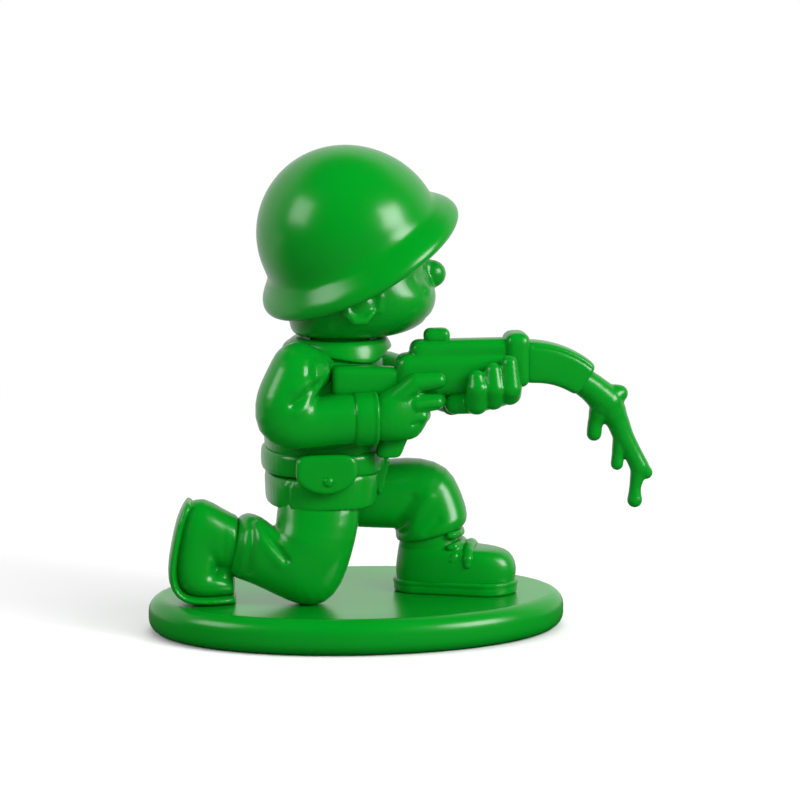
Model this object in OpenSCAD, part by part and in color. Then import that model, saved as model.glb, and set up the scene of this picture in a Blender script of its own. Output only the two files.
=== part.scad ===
// Kneeling toy soldier on an oval base, pegged together from moulded pieces.
// X is the way the soldier faces, Y is to the soldier's left, Z is up.
// The origin is the middle of the base's underside.

/* [Base] */
// Length of the oval base
base_l = 104; // [96:1:120]
// Width of the oval base
base_w = 72; // [66:1:84]
// Thickness of the base
base_h = 9; // [8:0.5:12]
// Radius of the base's rounded edge
base_edge_r = 3.6; // [2:0.1:3.9]

/* [Pegs and gaps] */
// Radius of the pegs that join the pieces
peg_r = 2.4; // [1.8:0.1:2.8]
// Length of a peg in its socket
peg_l = 5; // [3:0.5:6]
// Radial clearance of a peg in its socket
peg_gap = 0.06; // [0.02:0.01:0.1]
// Gap between two pieces whose rounded faces lie against each other
skin_gap = 0.3; // [0.2:0.05:0.5]

/* [Legs] */
// Height of the jacket's hem above the base
leg_h = 24.2; // [22:0.2:27]
// Depth of the kneeling thigh at the hem
thigh_d = 19.2; // [17:0.2:21]
// Width of both trouser legs
thigh_w = 17.6; // [15:0.2:18.6]
// Place of the kneeling knee's inner fold along the base
fold_x = -22.3; // [-24:0.1:-21]
// Place of the kneeling leg across the base
kneel_y = -12.3; // [-14:0.1:-11]
// How far the shin turns in towards the middle at its end
shin_in = 5; // [2:0.5:7]
// Length of the kneeling shin behind the fold
shin_l = 10.5; // [9:0.5:13]
// Height of the gathered end of a trouser leg
gather_d = 16.2; // [14:0.2:18]
// Place of the raised thigh across the base
raised_y = 4.6; // [4:0.1:6]
// Depth of the raised thigh
raised_d = 16.6; // [15:0.2:18]
// Length of the raised thigh, from the hip to the inside of the knee
raised_l = 12; // [10:0.5:15]
// Reach of the raised knee from the inside of its bend
raised_reach = 20.2; // [19:0.2:22]

/* [Boots] */
// Length of the front boot's sole
boot_l = 31; // [28:0.5:36]
// Width of the front boot's sole at the ball of the foot
boot_w = 16; // [14:0.5:18]
// Width of the front boot's heel
heel_w = 12.6; // [11:0.2:14]
// Thickness of the front boot's sole
sole_t = 3.4; // [2.5:0.1:4.5]
// Turn of the front boot towards the kneeling side, in degrees
boot_turn = 16; // [8:1:20]
// Height of the front boot's toe cap above its sole
toe_h = 9; // [7.5:0.25:10]
// Depth of a boot's shaft
shaft_d = 13.4; // [12:0.2:15]
// Width of a boot's shaft
shaft_w = 12; // [10:0.2:13]
// Width of the rear boot
rear_w = 13.6; // [12:0.2:15]
// Thickness of the rear boot's sole
rear_sole_t = 2.4; // [1.8:0.1:3]
// Thickness of a lace
lace_r = 0.9; // [0.6:0.05:1.2]

/* [Jacket] */
// Place of the body's middle plane across the base
body_y = -3; // [-4:0.1:-2]
// Place of the waist's middle along the base
waist_x = -8.4; // [-10:0.1:-8]
// Depth of the jacket at the waist
waist_d = 28.6; // [27:0.2:32]
// Width of the jacket at the waist
waist_w = 31.4; // [29:0.2:33]
// Height of the jacket below the belt
skirt_h = 8.3; // [7:0.1:10]
// Height of the belt
belt_h = 5.5; // [4:0.1:7]
// How far the belt stands out from the jacket
belt_out = 0.5; // [0.3:0.1:1.2]
// Height of the jacket above the belt
torso_h = 23.5; // [22:0.2:26]
// Distance from the body's middle plane to the face that a sleeve sits on
shoulder_y = 10; // [9:0.1:11]
// Height of the ledge above the belt that the sleeves clear
ledge_h = 1.5; // [1:0.1:2]
// Thickness of the hanging front flap
flap_t = 1.4; // [1:0.1:2]
// Radius of the post in the waist
post_r = 4; // [3:0.1:5]

/* [Pouch] */
// Width of the pouch
pouch_w = 14; // [12:0.2:16]
// Height of the pouch
pouch_h = 9; // [8:0.1:10]
// Depth of the pouch behind its flap
pouch_d = 3.2; // [2:0.1:4]
// Thickness of the pouch's flap
pouch_flap_t = 1.1; // [0.8:0.1:1.6]
// Radius of the pouch's snap
snap_r = 1.3; // [0.9:0.05:1.6]

/* [Head] */
// Place of the neck along the base
neck_x = -4.5; // [-6:0.1:-3]
// Radius of the neck
neck_r = 7.4; // [6:0.1:8]
// Radius of the peg on which the head turns
neck_peg_r = 3.6; // [3:0.1:4.5]
// Height of the collar
collar_h = 3.6; // [3:0.1:4.2]
// Thickness of the collar
collar_t = 3.4; // [2.5:0.1:4]
// Gap under the head, above the collar
chin_gap = 1.2; // [0.8:0.1:2]
// Width of the head
head_w = 35.2; // [34:0.2:37]
// How much longer the head is, from face to back, than it is wide
head_longer = 2.8; // [0:0.1:3.4]
// Height of the helmet's middle above the underside of the head
crown_h = 24.7; // [23:0.1:27]
// How far the nose stands out
nose_out = 2.4; // [1.5:0.1:3.5]
// How far the ears stand out
ear_out = 1.6; // [1:0.1:2]
// Room between the head's side and the inside of the helmet
helmet_room = 2.2; // [2:0.1:3]
// Wall of the helmet
helmet_t = 1.8; // [1.2:0.1:2.2]
// How far the helmet's brim stands out from its dome
brim_out = 4.7; // [3.6:0.1:6]
// Depth of the helmet below the middle of its dome
brim_drop = 8; // [7.4:0.1:9.4]
// Thickness of the rounded brim
brim_t = 3; // [2:0.1:4]
// Backward tilt of the helmet, in degrees
helmet_tilt = 27; // [15:0.5:28]
// Lean of the helmet to the rifle's side, in degrees
helmet_lean = 9.5; // [0:0.5:12]

/* [Arms] */
// Thickness of the upper sleeves
sleeve_d = 14.4; // [13:0.2:15.6]
// Thickness of the forearms
forearm_d = 12.6; // [11:0.2:13.4]
// Distance from the shoulder face to the middle of the right upper sleeve
sleeve_out = 6.4; // [6:0.1:7.5]
// Height of the right forearm's middle below the shoulders
forearm_drop = 14.2; // [14:0.1:16]
// Length of a cuff
cuff_l = 5.2; // [4:0.1:6]
// How far a cuff stands out from its sleeve
cuff_out = 0.5; // [0.3:0.1:0.8]
// Thickness of a finger
finger_d = 3.6; // [3:0.1:4.2]

/* [Rifle] */
// Distance of the rifle's middle plane from the body's middle plane
rifle_out = 13.9; // [13.8:0.1:15]
// Height of the barrel's middle line below the shoulders
barrel_drop = 1.3; // [1:0.1:2.5]
// Place of the rifle's butt along the base
butt_x = -8.5; // [-9:0.1:-8]
// Length of the stock
stock_l = 18; // [17:0.2:19]
// Height of the stock
stock_h = 8; // [6.5:0.1:8.4]
// Thickness of the stock
stock_w = 6.6; // [5:0.1:7]
// Length of the receiver
receiver_l = 25; // [24:0.2:28]
// Height of the receiver above the barrel's middle line
receiver_up = 6; // [5:0.1:7]
// Height of the fore-end below the barrel's middle line
receiver_down = 8; // [7:0.1:9]
// Thickness of the receiver
receiver_w = 7; // [6:0.1:7.2]
// Thickness of the fore-end
foreend_w = 7.6; // [6.4:0.1:7.8]
// Length of the rear sight
sight_l = 6.6; // [5:0.1:8]
// Height of the rear sight
sight_h = 2.8; // [2:0.1:3.5]
// Length of the pistol grip
grip_l = 15; // [14:0.2:17]
// Depth of the pistol grip
grip_d = 5; // [4:0.1:5.6]
// Length of the front band
band_l = 6.6; // [5.6:0.1:8]
// Height of the front band
band_h = 15; // [13:0.2:17]
// Thickness of the front band
band_w = 9; // [8:0.1:9.4]
// Height of the barrel
barrel_h = 9.8; // [8:0.1:11]
// Thickness of the barrel
barrel_w = 7.6; // [6:0.1:9]
// Droop of the barrel at its end, in degrees
droop = 42; // [20:1:48]
// Radius of the barrel's bend
droop_r = 19.5; // [18:0.5:24]
// Thickness of the thickest melted stream
stream_d = 5.4; // [4:0.1:6]

/* [Hidden] */
$fn = 64;

green = "forestgreen";
// Sides of a ring of a limb, of the head and of the base
sides = 24;
head_sides = 40;
base_sides = 72;
// Squareness of a limb's section, where 2 is an ellipse
soft = 2.3;

// Heights of the flat faces on which the figure is stacked
hem_z = base_h + leg_h;
belt_z = hem_z + skirt_h;
waist_z = belt_z + belt_h;
shoulder_z = waist_z + torso_h;
collar_z = shoulder_z + collar_h;
chin_z = collar_z + chin_gap;

// Places of the rifle, in the frame of the shoulders
rifle_y = body_y - rifle_out;
barrel_z = shoulder_z - barrel_drop;
receiver_x = butt_x + stock_l;
band_x = receiver_x + receiver_l;
muzzle_x = band_x + band_l;
foreend_top = barrel_z - 0.3;
foreend_bottom = barrel_z - receiver_down;
stock_top = foreend_top + 0.6;
grip_x = receiver_x + 3.8;
grip_lean = 22;

// Planes on which the sleeves sit
right_face = body_y - shoulder_y;
left_face = body_y + shoulder_y;

// Front boot, in its own frame with the heel at the origin
boot_at = [9.8, 2.8, base_h];
sole_top = base_h + sole_t;

// Kneeling leg
fold = [fold_x, hem_z - 4];
gather_x = fold_x - shin_l;
gather_y = kneel_y + shin_in;
knee_peg = [fold_x + 9.5, kneel_y];
toe_peg = [gather_x - 5, gather_y];

// Raised leg
bend = [-2.1 + raised_l, base_h + 15.4];
hip_x = bend[0] - raised_l;
gather_tilt = 12.7;

// Middle of the helmet's dome, its radii, and the length and crown of the head inside it
dome = [1, body_y, chin_z + crown_h] + [neck_x, 0, 0];
head_l = head_w + head_longer;
helmet_r = head_w / 2 + helmet_room + helmet_t;
brim_r = helmet_r + brim_out;
crown_r = helmet_r - helmet_t - 0.4;

// Forearm of the right sleeve
forearm_z = shoulder_z - forearm_drop;
forearm_y = right_face - sleeve_out - 1;
right_cuff_x = butt_x + 5.2;
hand_x = right_cuff_x + cuff_l;

// Left arm, from its elbow to the hand under the fore-end
left_elbow = [9, left_face + 4.6, barrel_z - 8.6];
left_wrist = [23.5, rifle_y + 8.5, barrel_z - 11];
left_turn = atan2(left_wrist[1] - left_elbow[1], left_wrist[0] - left_elbow[0]);

// A power that keeps the sign of its base
function signed_pow(x, e) = sign(x) * pow(abs(x), e);

// A closed ring of points: half sizes a across and b along the bend, at a pitch above the X axis
function slice(at, pitch, a, b, k = soft, turn = 0, n = sides) =
    let (w = [cos(pitch) * cos(turn), cos(pitch) * sin(turn), sin(pitch)],
         u = [-sin(turn), cos(turn), 0],
         v = cross(w, u))
    [for (i = [0 : n - 1])
        let (t = 360 * i / n)
        at + u * a * signed_pow(cos(t), 2 / k) + v * b * signed_pow(sin(t), 2 / k)];

// A ring that fans out from a bend: near and far are distances from the bend's inner corner
function fan(corner, y, pitch, near, far, a, side, k = soft) =
    let (v = [-sin(pitch), cos(pitch)],
         c = corner + side * v * (near + far) / 2)
    slice([c[0], y, c[1]], pitch, a, (far - near) / 2, k);

// A level ring between two places along X
function level(z, x_low, x_high, y, a, k = soft, n = sides) =
    slice([(x_low + x_high) / 2, y, z], 90, a, (x_high - x_low) / 2, k, 0, n);

// A solid through a list of rings, closed by flat ends
module loft(rings) {
    n = len(rings[0]);
    last = (len(rings) - 1) * n;
    walls = [for (j = [0 : len(rings) - 2], i = [0 : n - 1])
        let (a = j * n + i, b = j * n + (i + 1) % n)
        each [[a, b + n, b], [a, a + n, b + n]]];
    first_end = [for (i = [0 : n - 1]) i];
    last_end = [for (i = [n - 1 : -1 : 0]) last + i];
    polyhedron([for (r = rings) each r], concat(walls, [first_end, last_end]), convexity = 6);
}

module socket(at, depth = peg_l) {
    translate([at[0], at[1], base_h - depth - 1]) cylinder(r = peg_r + peg_gap, h = depth + 2);
}

// Places of the pegs under the front boot
function boot_place(x) = [boot_at[0] + x * cos(boot_turn), boot_at[1] - x * sin(boot_turn)];

// A ring of the base, drawn in by its rounded edge at an angle from the middle of the edge
function base_ring(z, angle) =
    let (inset = base_edge_r * (1 - cos(angle)))
    level(z + base_edge_r * sin(angle), inset - base_l / 2, base_l / 2 - inset, 0,
        base_w / 2 - inset, 2, base_sides);

module base_plate() {
    low = base_edge_r;
    high = base_h - base_edge_r;
    color(green) difference() {
        loft(concat(
            [for (t = [-90, -60, -30, 0]) base_ring(low, t)],
            [for (t = [0, 30, 60, 90]) base_ring(high, t)]));
        for (at = [knee_peg, toe_peg, boot_place(heel_w / 2), boot_place(boot_l - boot_w / 2)])
            socket(at);
    }
}

module peg(at, rise) {
    translate([at[0], at[1], base_h - peg_l]) cylinder(r = peg_r, h = peg_l + rise);
}

module right_leg() {
    drop = fold[1] - base_h;
    a = thigh_w / 2;
    back = fold_x + 1;
    color(green) {
        loft([
            level_down(hem_z, back, back + thigh_d, kneel_y, a),
            fan(fold, kneel_y, -90, 0.6, thigh_d + 0.6, a, 1),
            fan(fold, kneel_y, -112, 0.6, thigh_d + 1.2, a, 1),
            fan(fold, kneel_y, -132, 0.6, drop * 1.12, a - 0.2, 1),
            fan(fold, kneel_y, -148, 0.6, drop * 1.145, a - 0.7, 1),
            fan(fold, kneel_y, -162, 0.6, drop * 1.045, a - 1, 1),
            fan(fold, kneel_y + 0.8, -180, 0.6, drop * 0.86, a - 1.3, 1),
            slice([fold_x - shin_l * 0.42, gather_y - shin_in * 0.6, fold[1] - 6.4], -190, a - 1,
                gather_d / 2),
            slice([fold_x - shin_l * 0.76, gather_y - shin_in * 0.25, fold[1] - 5.9], -186, a - 0.8,
                gather_d / 2),
            slice([gather_x + 0.6, gather_y, fold[1] - 6.1], -181, a - 1.6, gather_d / 2 - 0.9),
            slice([gather_x, gather_y, fold[1] - 6.1], -180, a - 2.4, gather_d / 2 - 1.7)]);
        peg(knee_peg, 6);
    }
}

// A level ring for a loft that runs down
function level_down(z, x_low, x_high, y, a, k = soft) =
    slice([(x_low + x_high) / 2, y, z], -90, a, (x_high - x_low) / 2, k);

// Inner corner of the rear boot, where its instep folds
function rear_corner() = [gather_x - 2.4, fold[1] - 11.6];

module right_boot() {
    q = rear_corner();
    a = rear_w / 2;
    floor_d = q[1] - base_h - rear_sole_t - skin_gap;
    color(green) loft([
        slice([gather_x - 0.1, gather_y, fold[1] - 5.6], 180, shaft_w / 2 - 0.2, 6.4),
        slice([gather_x - 1, gather_y, fold[1] - 5.4], 182, shaft_w / 2, 6.6),
        fan(q, gather_y, 192, 0.3, 15.3, a - 0.6, -1),
        fan(q, gather_y, 210, 0.3, 14.4, a - 0.5, -1),
        fan(q, gather_y, 235, 0.3, 9.6, a - 0.3, -1),
        fan(q, gather_y, 265, 0.3, 8.5, a, -1),
        fan(q, gather_y, 295, 0.3, 8.6, a, -1),
        fan(q, gather_y, 320, 0.3, floor_d * 1.25, a, -1),
        fan(q, gather_y, 345, 0.3, floor_d * 1.03, a - 0.2, -1),
        slice([q[0] + 1.4, gather_y, q[1] - floor_d / 2 - 0.5], 360, a - 0.8, floor_d / 2 - 0.5),
        slice([q[0] + 3, gather_y, q[1] - floor_d / 2 - 1.4], 360, a - 2.6, floor_d / 2 - 1.5)]);
}

module right_boot_sole() {
    q = rear_corner();
    a = rear_w / 2 + 0.5;
    half = rear_sole_t / 2;
    floor_z = base_h + half;
    // Middle line of the sole from the heel down to the toe
    line = [[q[0] - 6.2, q[1] + 16.6], [q[0] - 8.4, q[1] + 12.8], [q[0] - 9.7, q[1] + 6.4],
        [q[0] - 10.5, q[1] + 0.6], [q[0] - 9.9, floor_z + 3.1], [q[0] - 7.4, floor_z + 0.5],
        [q[0] - 3.3, floor_z], [q[0] + 2, floor_z], [q[0] + 3.4, floor_z]];
    last = len(line) - 1;
    taper = [1.6, 0.5, 0.2, 0, 0, 0, 0.2, 1.2, 3];
    color(green) {
        loft([for (i = [0 : last])
            let (d = line[min(i + 1, last)] - line[max(i - 1, 0)])
            slice([line[i][0], gather_y, line[i][1]], atan2(d[1], d[0]), a - taper[i], half, 4)]);
        peg(toe_peg, rear_sole_t / 2);
    }
}

module left_leg() {
    a = thigh_w / 2 - 0.2;
    top = raised_d + 0.4;
    in_y = raised_y - 3.6;
    low = low_gather();
    color(green) {
        loft([
            slice([hip_x, raised_y, bend[1] + top / 2], 0, a, raised_d / 2 - 0.2),
            slice([bend[0] - raised_l / 2, raised_y, bend[1] + top / 2], 0, a, raised_d / 2),
            fan(bend, raised_y - 0.4, 0, 0.4, top, a, 1),
            fan(bend, raised_y - 1, -22, 0.4, raised_reach * 0.92, a, 1),
            fan(bend, raised_y - 1.6, -42, 0.4, raised_reach, a, 1),
            fan(bend, raised_y - 2.2, -58, 0.4, raised_reach * 0.945, a, 1),
            fan(bend, raised_y - 2.8, -70, 0.4, raised_reach * 0.92, a, 1),
            fan(bend, in_y, -78, 0.4, raised_reach * 0.905, a - 0.1, 1),
            slice([low[0] + 0.3, in_y, low[1] + 1], gather_tilt - 90, a - 0.3, raised_reach * 0.44),
            slice([low[0], in_y, low[1]], gather_tilt - 90, a - 1.3, raised_reach * 0.38)]);
        hip_peg(peg_r);
    }
}

module hip_peg(r) {
    translate([hip_x - peg_l, raised_y, bend[1] + raised_d / 2]) rotate([0, 90, 0])
        cylinder(r = r, h = peg_l + 3);
}

// Frame of the front boot: heel at the origin, toe along X
module boot_frame() {
    translate([boot_at[0], boot_at[1], 0]) rotate([0, 0, -boot_turn]) children();
}

module left_boot() {
    x_front = boot_l - 0.7;
    shaft = 1.5 + shaft_d;
    top_x = (low_gather()[0] - boot_at[0]) / cos(boot_turn);
    top_z = low_gather()[1] - 2 * skin_gap;
    a = boot_w / 2;
    color(green) boot_frame() loft([
        level(sole_top, 0.9, x_front, 0, a - 1.2, 2.8),
        level(sole_top + toe_h * 0.22, 0.5, x_front + 0.2, 0, a - 0.8, 2.8),
        level(sole_top + toe_h * 0.55, 0.7, x_front - 0.4, 0, a - 0.9, 2.8),
        level(sole_top + toe_h * 0.8, 1.1, x_front - 2.2, 0, a - 1.3, 2.7),
        level(sole_top + toe_h * 0.94, 1.3, x_front - 5, 0, a - 1.7, 2.6),
        level(sole_top + toe_h, 1.4, shaft + 5.5, 0, shaft_w / 2 + 0.2, 2.5),
        level(sole_top + toe_h + 0.5, 1.5, shaft + 1.2, 0, shaft_w / 2),
        slice([top_x, 0, top_z], 90 + gather_tilt, shaft_w / 2 - 0.1, shaft_d / 2)]);
}

// Middle of the raised leg's gathered end
function low_gather() = [bend[0] + 8.6, bend[1] - 1.1];

// Outline of the front boot's sole: a toe circle and a heel circle with their two tangents
function sole_ring(z) =
    let (heel_r = heel_w / 2, toe_r = boot_w / 2, n = 2 * sides,
         lean = asin((toe_r - heel_r) / (boot_l - heel_r - toe_r)))
    [for (i = [0 : n - 1])
        let (t = 360 * (i + 0.5) / n - 180, toe = abs(t) < 90 + lean)
        [(toe ? boot_l - toe_r : heel_r) + (toe ? toe_r : heel_r) * cos(t),
            (toe ? toe_r : heel_r) * sin(t), z]];

module left_boot_sole() {
    color(green) {
        boot_frame() loft([sole_ring(base_h), sole_ring(base_h + sole_t)]);
        for (x = [heel_w / 2, boot_l - boot_w / 2])
            peg(boot_place(x), sole_t / 2);
    }
}

module left_boot_laces() {
    x = shaft_d + 1.6 + lace_r + skin_gap;
    z = sole_top + toe_h + 0.6 + lace_r;
    color(green) boot_frame() for (i = [0 : 1])
        translate([x + (1 - i) * 1.2, 0, z + i * 1.1]) rotate([90, 0, 0]) {
            cylinder(r = lace_r / (1 + i), h = shaft_w * 0.5, center = true);
            for (s = [-1, 1]) translate([0, 0, s * shaft_w * 0.25]) sphere(lace_r / (1 + i));
        }
}

// Outline of the jacket at a height, grown by out
function waist_ring(z, out) =
    level(z, waist_x - waist_d / 2 - out, waist_x + waist_d / 2 + out, body_y, waist_w / 2 + out, 2.5);

module post_hole(low, high) {
    translate([waist_x, body_y, low]) cylinder(r = post_r + peg_gap, h = high - low);
}

module jacket_skirt() {
    back = waist_x - waist_d / 2 + 0.5;
    front = waist_x + waist_d / 2 - 1.3;
    a = waist_w / 2 + 0.3;
    color(green) difference() {
        loft([
            level(hem_z, back + 1, front - 1, body_y, a - 0.9, 2.5),
            level(hem_z + 1, back, front, body_y, a, 2.5),
            level(belt_z - 2, back, front, body_y, a - 0.1, 2.5),
            waist_ring(belt_z, -0.5)]);
        // Room for the raised thigh
        translate([hip_x - skin_gap, raised_y - thigh_w / 2 - flap_t - 2 * skin_gap, hem_z - 1])
            cube([waist_d, waist_w, skirt_h + 2]);
        post_hole(belt_z - peg_l, belt_z + 1);
        hip_peg(peg_r + peg_gap);
        translate([knee_peg[0], kneel_y, hem_z - 1]) cylinder(r = peg_r + peg_gap, h = 3.5);
    }
}

module jacket_flap() {
    x = waist_x + waist_d / 2 - 1;
    y = raised_y - thigh_w / 2 - skin_gap;
    color(green) translate([0, y, 0]) rotate([90, 0, 0]) linear_extrude(flap_t)
        polygon([[x - 3, belt_z], [x + 1.8, belt_z], [x + 0.4, hem_z + 1], [x - 1, hem_z + 0.6],
            [x - 3, hem_z + 2]]);
}

module belt() {
    color(green) difference() {
        loft([
            waist_ring(belt_z, belt_out - 0.4),
            waist_ring(belt_z + 0.6, belt_out),
            waist_ring(waist_z - 0.6, belt_out),
            waist_ring(waist_z, belt_out - 0.4)]);
        post_hole(belt_z - 1, waist_z + 1);
    }
}

module waist_post() {
    color(green) translate([waist_x, body_y, belt_z - peg_l + 0.2])
        cylinder(r = post_r, h = belt_h + 2 * peg_l - 0.4);
}

module jacket() {
    h = torso_h;
    x0 = waist_x - waist_d / 2;
    x1 = waist_x + waist_d / 2;
    a = waist_w / 2;
    color(green) difference() {
        loft([
            waist_ring(waist_z, -0.4),
            level(waist_z + h * 0.2, x0, x1 + 0.8, body_y, a - 0.6, 2.5),
            level(waist_z + h * 0.55, x0 + 0.8, x1 + 0.8, body_y, a - 1.6, 2.4),
            level(waist_z + h * 0.78, x0 + 2.4, x1 + 0.7, body_y, a - 2.4),
            level(waist_z + h * 0.93, x0 + 4.6, x1 + 0.6, body_y, a - 3.2),
            level(shoulder_z, x0 + 6.4, x1 + 0.2, body_y, a - 3.8)]);
        // Flat faces for the sleeves
        for (s = [-1, 1])
            translate([waist_x - waist_d, s > 0 ? left_face : right_face - waist_w, waist_z + ledge_h])
                cube([2 * waist_d, waist_w, torso_h]);
        post_hole(waist_z - 1, waist_z + peg_l);
        translate([neck_x, body_y, shoulder_z - 2 * peg_l]) cylinder(r = neck_peg_r + peg_gap, h = 20);
        shoulder_pegs(peg_r + peg_gap);
    }
}

// Pegs of both shoulders, on one line
function shoulder_at() = [butt_x - 7.5, shoulder_z - 5.5];

module shoulder_peg(face, side, r) {
    at = shoulder_at();
    translate([at[0], face - side * peg_l, at[1]]) rotate([-90 * side, 0, 0]) cylinder(r = r, h = peg_l + 4);
}

module shoulder_pegs(r) {
    shoulder_peg(right_face, -1, r);
    shoulder_peg(left_face, 1, r);
}

// Frame of the pouch: its back in the XZ plane, its depth along minus Y
module pouch_frame() {
    translate([waist_x - 1.5, body_y - waist_w / 2 - belt_out - skin_gap, belt_z - 3]) children();
}

// A panel with round lower corners, its top at pouch_h
module pouch_panel(w, h, t) {
    r = h * 0.45;
    rotate([90, 0, 0]) linear_extrude(t) {
        for (s = [-1, 1]) translate([s * (w / 2 - r), r]) circle(r);
        translate([r - w / 2, 0]) square([w - 2 * r, h]);
        translate([-w / 2, r]) square([w, h - r]);
    }
}

module pouch() {
    color(green) pouch_frame() pouch_panel(pouch_w, pouch_h, pouch_d);
}

module pouch_flap() {
    color(green) pouch_frame() translate([0, -pouch_d, -0.3])
        pouch_panel(pouch_w + 0.6, pouch_h + 0.6, pouch_flap_t);
}

module pouch_snap() {
    color(green) pouch_frame() translate([1.5, -pouch_d - pouch_flap_t, pouch_h * 0.3]) rotate([90, 0, 0]) {
        cylinder(r = snap_r, h = 0.4);
        translate([0, 0, 0.4]) cylinder(r1 = snap_r, r2 = snap_r * 0.6, h = 0.5);
    }
}

module collar() {
    inner = neck_r + skin_gap + 0.2;
    outer = inner + collar_t;
    color(green) {
        translate([neck_x, body_y, shoulder_z]) rotate_extrude()
            polygon([[inner, 0], [outer, 0], [outer - 0.6, collar_h * 0.45], [inner + 1.6, collar_h],
                [inner, collar_h]]);
        // Two points that lie on the chest
        for (s = [-1, 1])
            translate([neck_x, body_y, shoulder_z]) rotate(s * 32) hull() {
                translate([outer - 1.2, 0, 0]) cylinder(r = 1.1, h = 1.2, $fn = 16);
                translate([inner + 1, s * 2.8, 0]) cylinder(r = 0.9, h = collar_h * 0.7, $fn = 16);
                translate([inner + 1, -s * 2.8, 0]) cylinder(r = 0.9, h = collar_h * 0.7, $fn = 16);
            }
    }
}

module neck() {
    color(green) translate([neck_x, body_y, 0]) {
        translate([0, 0, shoulder_z + skin_gap]) cylinder(r = neck_r, h = chin_z - shoulder_z - skin_gap);
        translate([0, 0, shoulder_z - 2 * peg_l + skin_gap]) cylinder(r = neck_peg_r, h = 2 * peg_l);
        translate([0, 0, chin_z - 1]) cylinder(r = neck_peg_r, h = peg_l + 1);
    }
}

// Swelling of the head at an angle from the face and a height: nose and two ears
function bump(angle, z, at, high, spread, tall) =
    let (d = (angle - at + 540) % 360 - 180)
    high * exp(-pow(d / spread, 2) - pow((z - chin_z) / tall - high_of(at) / tall, 2));
function high_of(at) = at == 0 ? 14.4 : 7.4;

// A ring of the head, with its face along X
function head_ring(z, back, front, half, k = soft) =
    let (c = (front + back) / 2, h = (front - back) / 2)
    [for (i = [0 : head_sides - 1])
        let (t = 360 * i / head_sides,
             out = bump(t, z, 0, nose_out, 8, 2.4) + bump(t, z, 92, ear_out, 9, 3.4)
                + bump(t, z, 268, ear_out, 9, 3.4),
             p = [h * signed_pow(cos(t), 2 / k), half * signed_pow(sin(t), 2 / k)])
        [c + p[0] + out * cos(t), body_y + p[1] + out * sin(t), z]];

module head() {
    x0 = dome[0] - head_l / 2;
    x1 = x0 + head_l + 3.6;
    a = head_w / 2;
    z0 = chin_z;
    color(green) difference() {
        loft(concat(
            [head_ring(z0, x0 + 11, x1 - 8, a * 0.6),
            head_ring(z0 + 1, x0 + 9, x1 - 4.8, a * 0.74),
            head_ring(z0 + 3, x0 + 7, x1 - 2.6, a * 0.87),
            head_ring(z0 + 5.5, x0 + 5, x1 - 1, a * 0.96),
            head_ring(z0 + 8, x0 + 5, x1, a, 2.2),
            head_ring(z0 + 10.5, x0 + 4.6, x1 + 0.2, a, 2.2),
            head_ring(z0 + 12.4, x0 + 3.8, x1 + 0.2, a, 2.2),
            head_ring(z0 + 14.4, x0 + 2.9, x1 + 0.1, a, 2.2),
            head_ring(z0 + 16.4, x0 + 2, x1 - 0.2, a, 2.1),
            head_ring(z0 + 18.6, x0 + 1.3, x1 - 1, a, 2),
            head_ring(z0 + 21.4, x0 + 0.8, x1 - 2.6, a, 2)],
            [for (e = [4, 16, 30, 44, 58, 72, 84])
                let (r = crown_r * cos(e))
                head_ring(dome[2] + crown_r * sin(e), dome[0] - r, dome[0] + r, r, 2)]));
        translate([neck_x, body_y, z0 - 1]) cylinder(r = neck_peg_r + peg_gap, h = peg_l + 1.5);
    }
}

// Points of an arc in a half section
function arc(c, r, from, to, n) =
    [for (i = [0 : n]) let (t = from + (to - from) * i / n) c + r * [cos(t), sin(t)]];

module helmet() {
    inner = helmet_r - helmet_t;
    lip = brim_t / 2;
    lip_c = [brim_r - lip, -brim_drop];
    flare_r = brim_drop - lip - 3;
    flare_c = [helmet_r + 0.3 + flare_r, -3];
    color(green) translate(dome) rotate([helmet_lean, 0, 0]) rotate([0, -helmet_tilt, 0])
        rotate_extrude($fn = 96) polygon(concat(
            arc([0, 0], helmet_r, 90, 0, 16),
            arc(flare_c, flare_r, 180, 252, 5),
            arc(lip_c, lip, 75, -120, 8),
            [[inner + 1.2, -brim_drop + 0.4], [inner, -brim_drop + 3]],
            arc([0, 0], inner, 0, 90, 14)));
}

module right_sleeve() {
    y = right_face - sleeve_out;
    half = sleeve_d / 2;
    f = forearm_d / 2;
    e = [butt_x - 3.9, forearm_z + f - 0.3];
    color(green) {
        difference() {
            loft([
                slice([butt_x - 5.2, y + 1.8, shoulder_z + 2.8], -110, 3, 3.2),
                slice([butt_x - 6.2, y + 1.2, shoulder_z + 1.2], -108, half - 1.6, half - 1),
                slice([butt_x - 7.7, y + 0.8, shoulder_z - 1.5], -104, half - 0.4, half + 0.1),
                slice([butt_x - 10.6, y, shoulder_z - 6.2], -98, half, half),
                fan(e, y - 0.6, -85, 0.2, half + 7.7, half - 0.1, -1),
                fan(e, y - 1, -60, 0.2, half + 9, half - 0.3, -1),
                fan(e, y - 1.2, -35, 0.2, f + 9.2, f + 0.3, -1),
                fan(e, forearm_y - 0.2, -12, 0.2, f + 7, f, -1),
                slice([butt_x - 0.5, forearm_y, forearm_z], 0, f, f),
                slice([right_cuff_x, forearm_y, forearm_z + 0.2], 0, f - 0.2, f - 0.2)]);
            translate([butt_x - 30, right_face, waist_z - 10]) cube([60, 20, torso_h + 30]);
            stock_room();
        }
        shoulder_peg(right_face, -1, peg_r);
    }
}

// The space that the stock needs beside the forearm
module stock_room() {
    translate([butt_x - skin_gap, rifle_y - stock_w / 2 - skin_gap, stock_top - stock_h - skin_gap])
        cube([stock_l, stock_w + 2 * skin_gap + 10, 20]);
}

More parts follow.
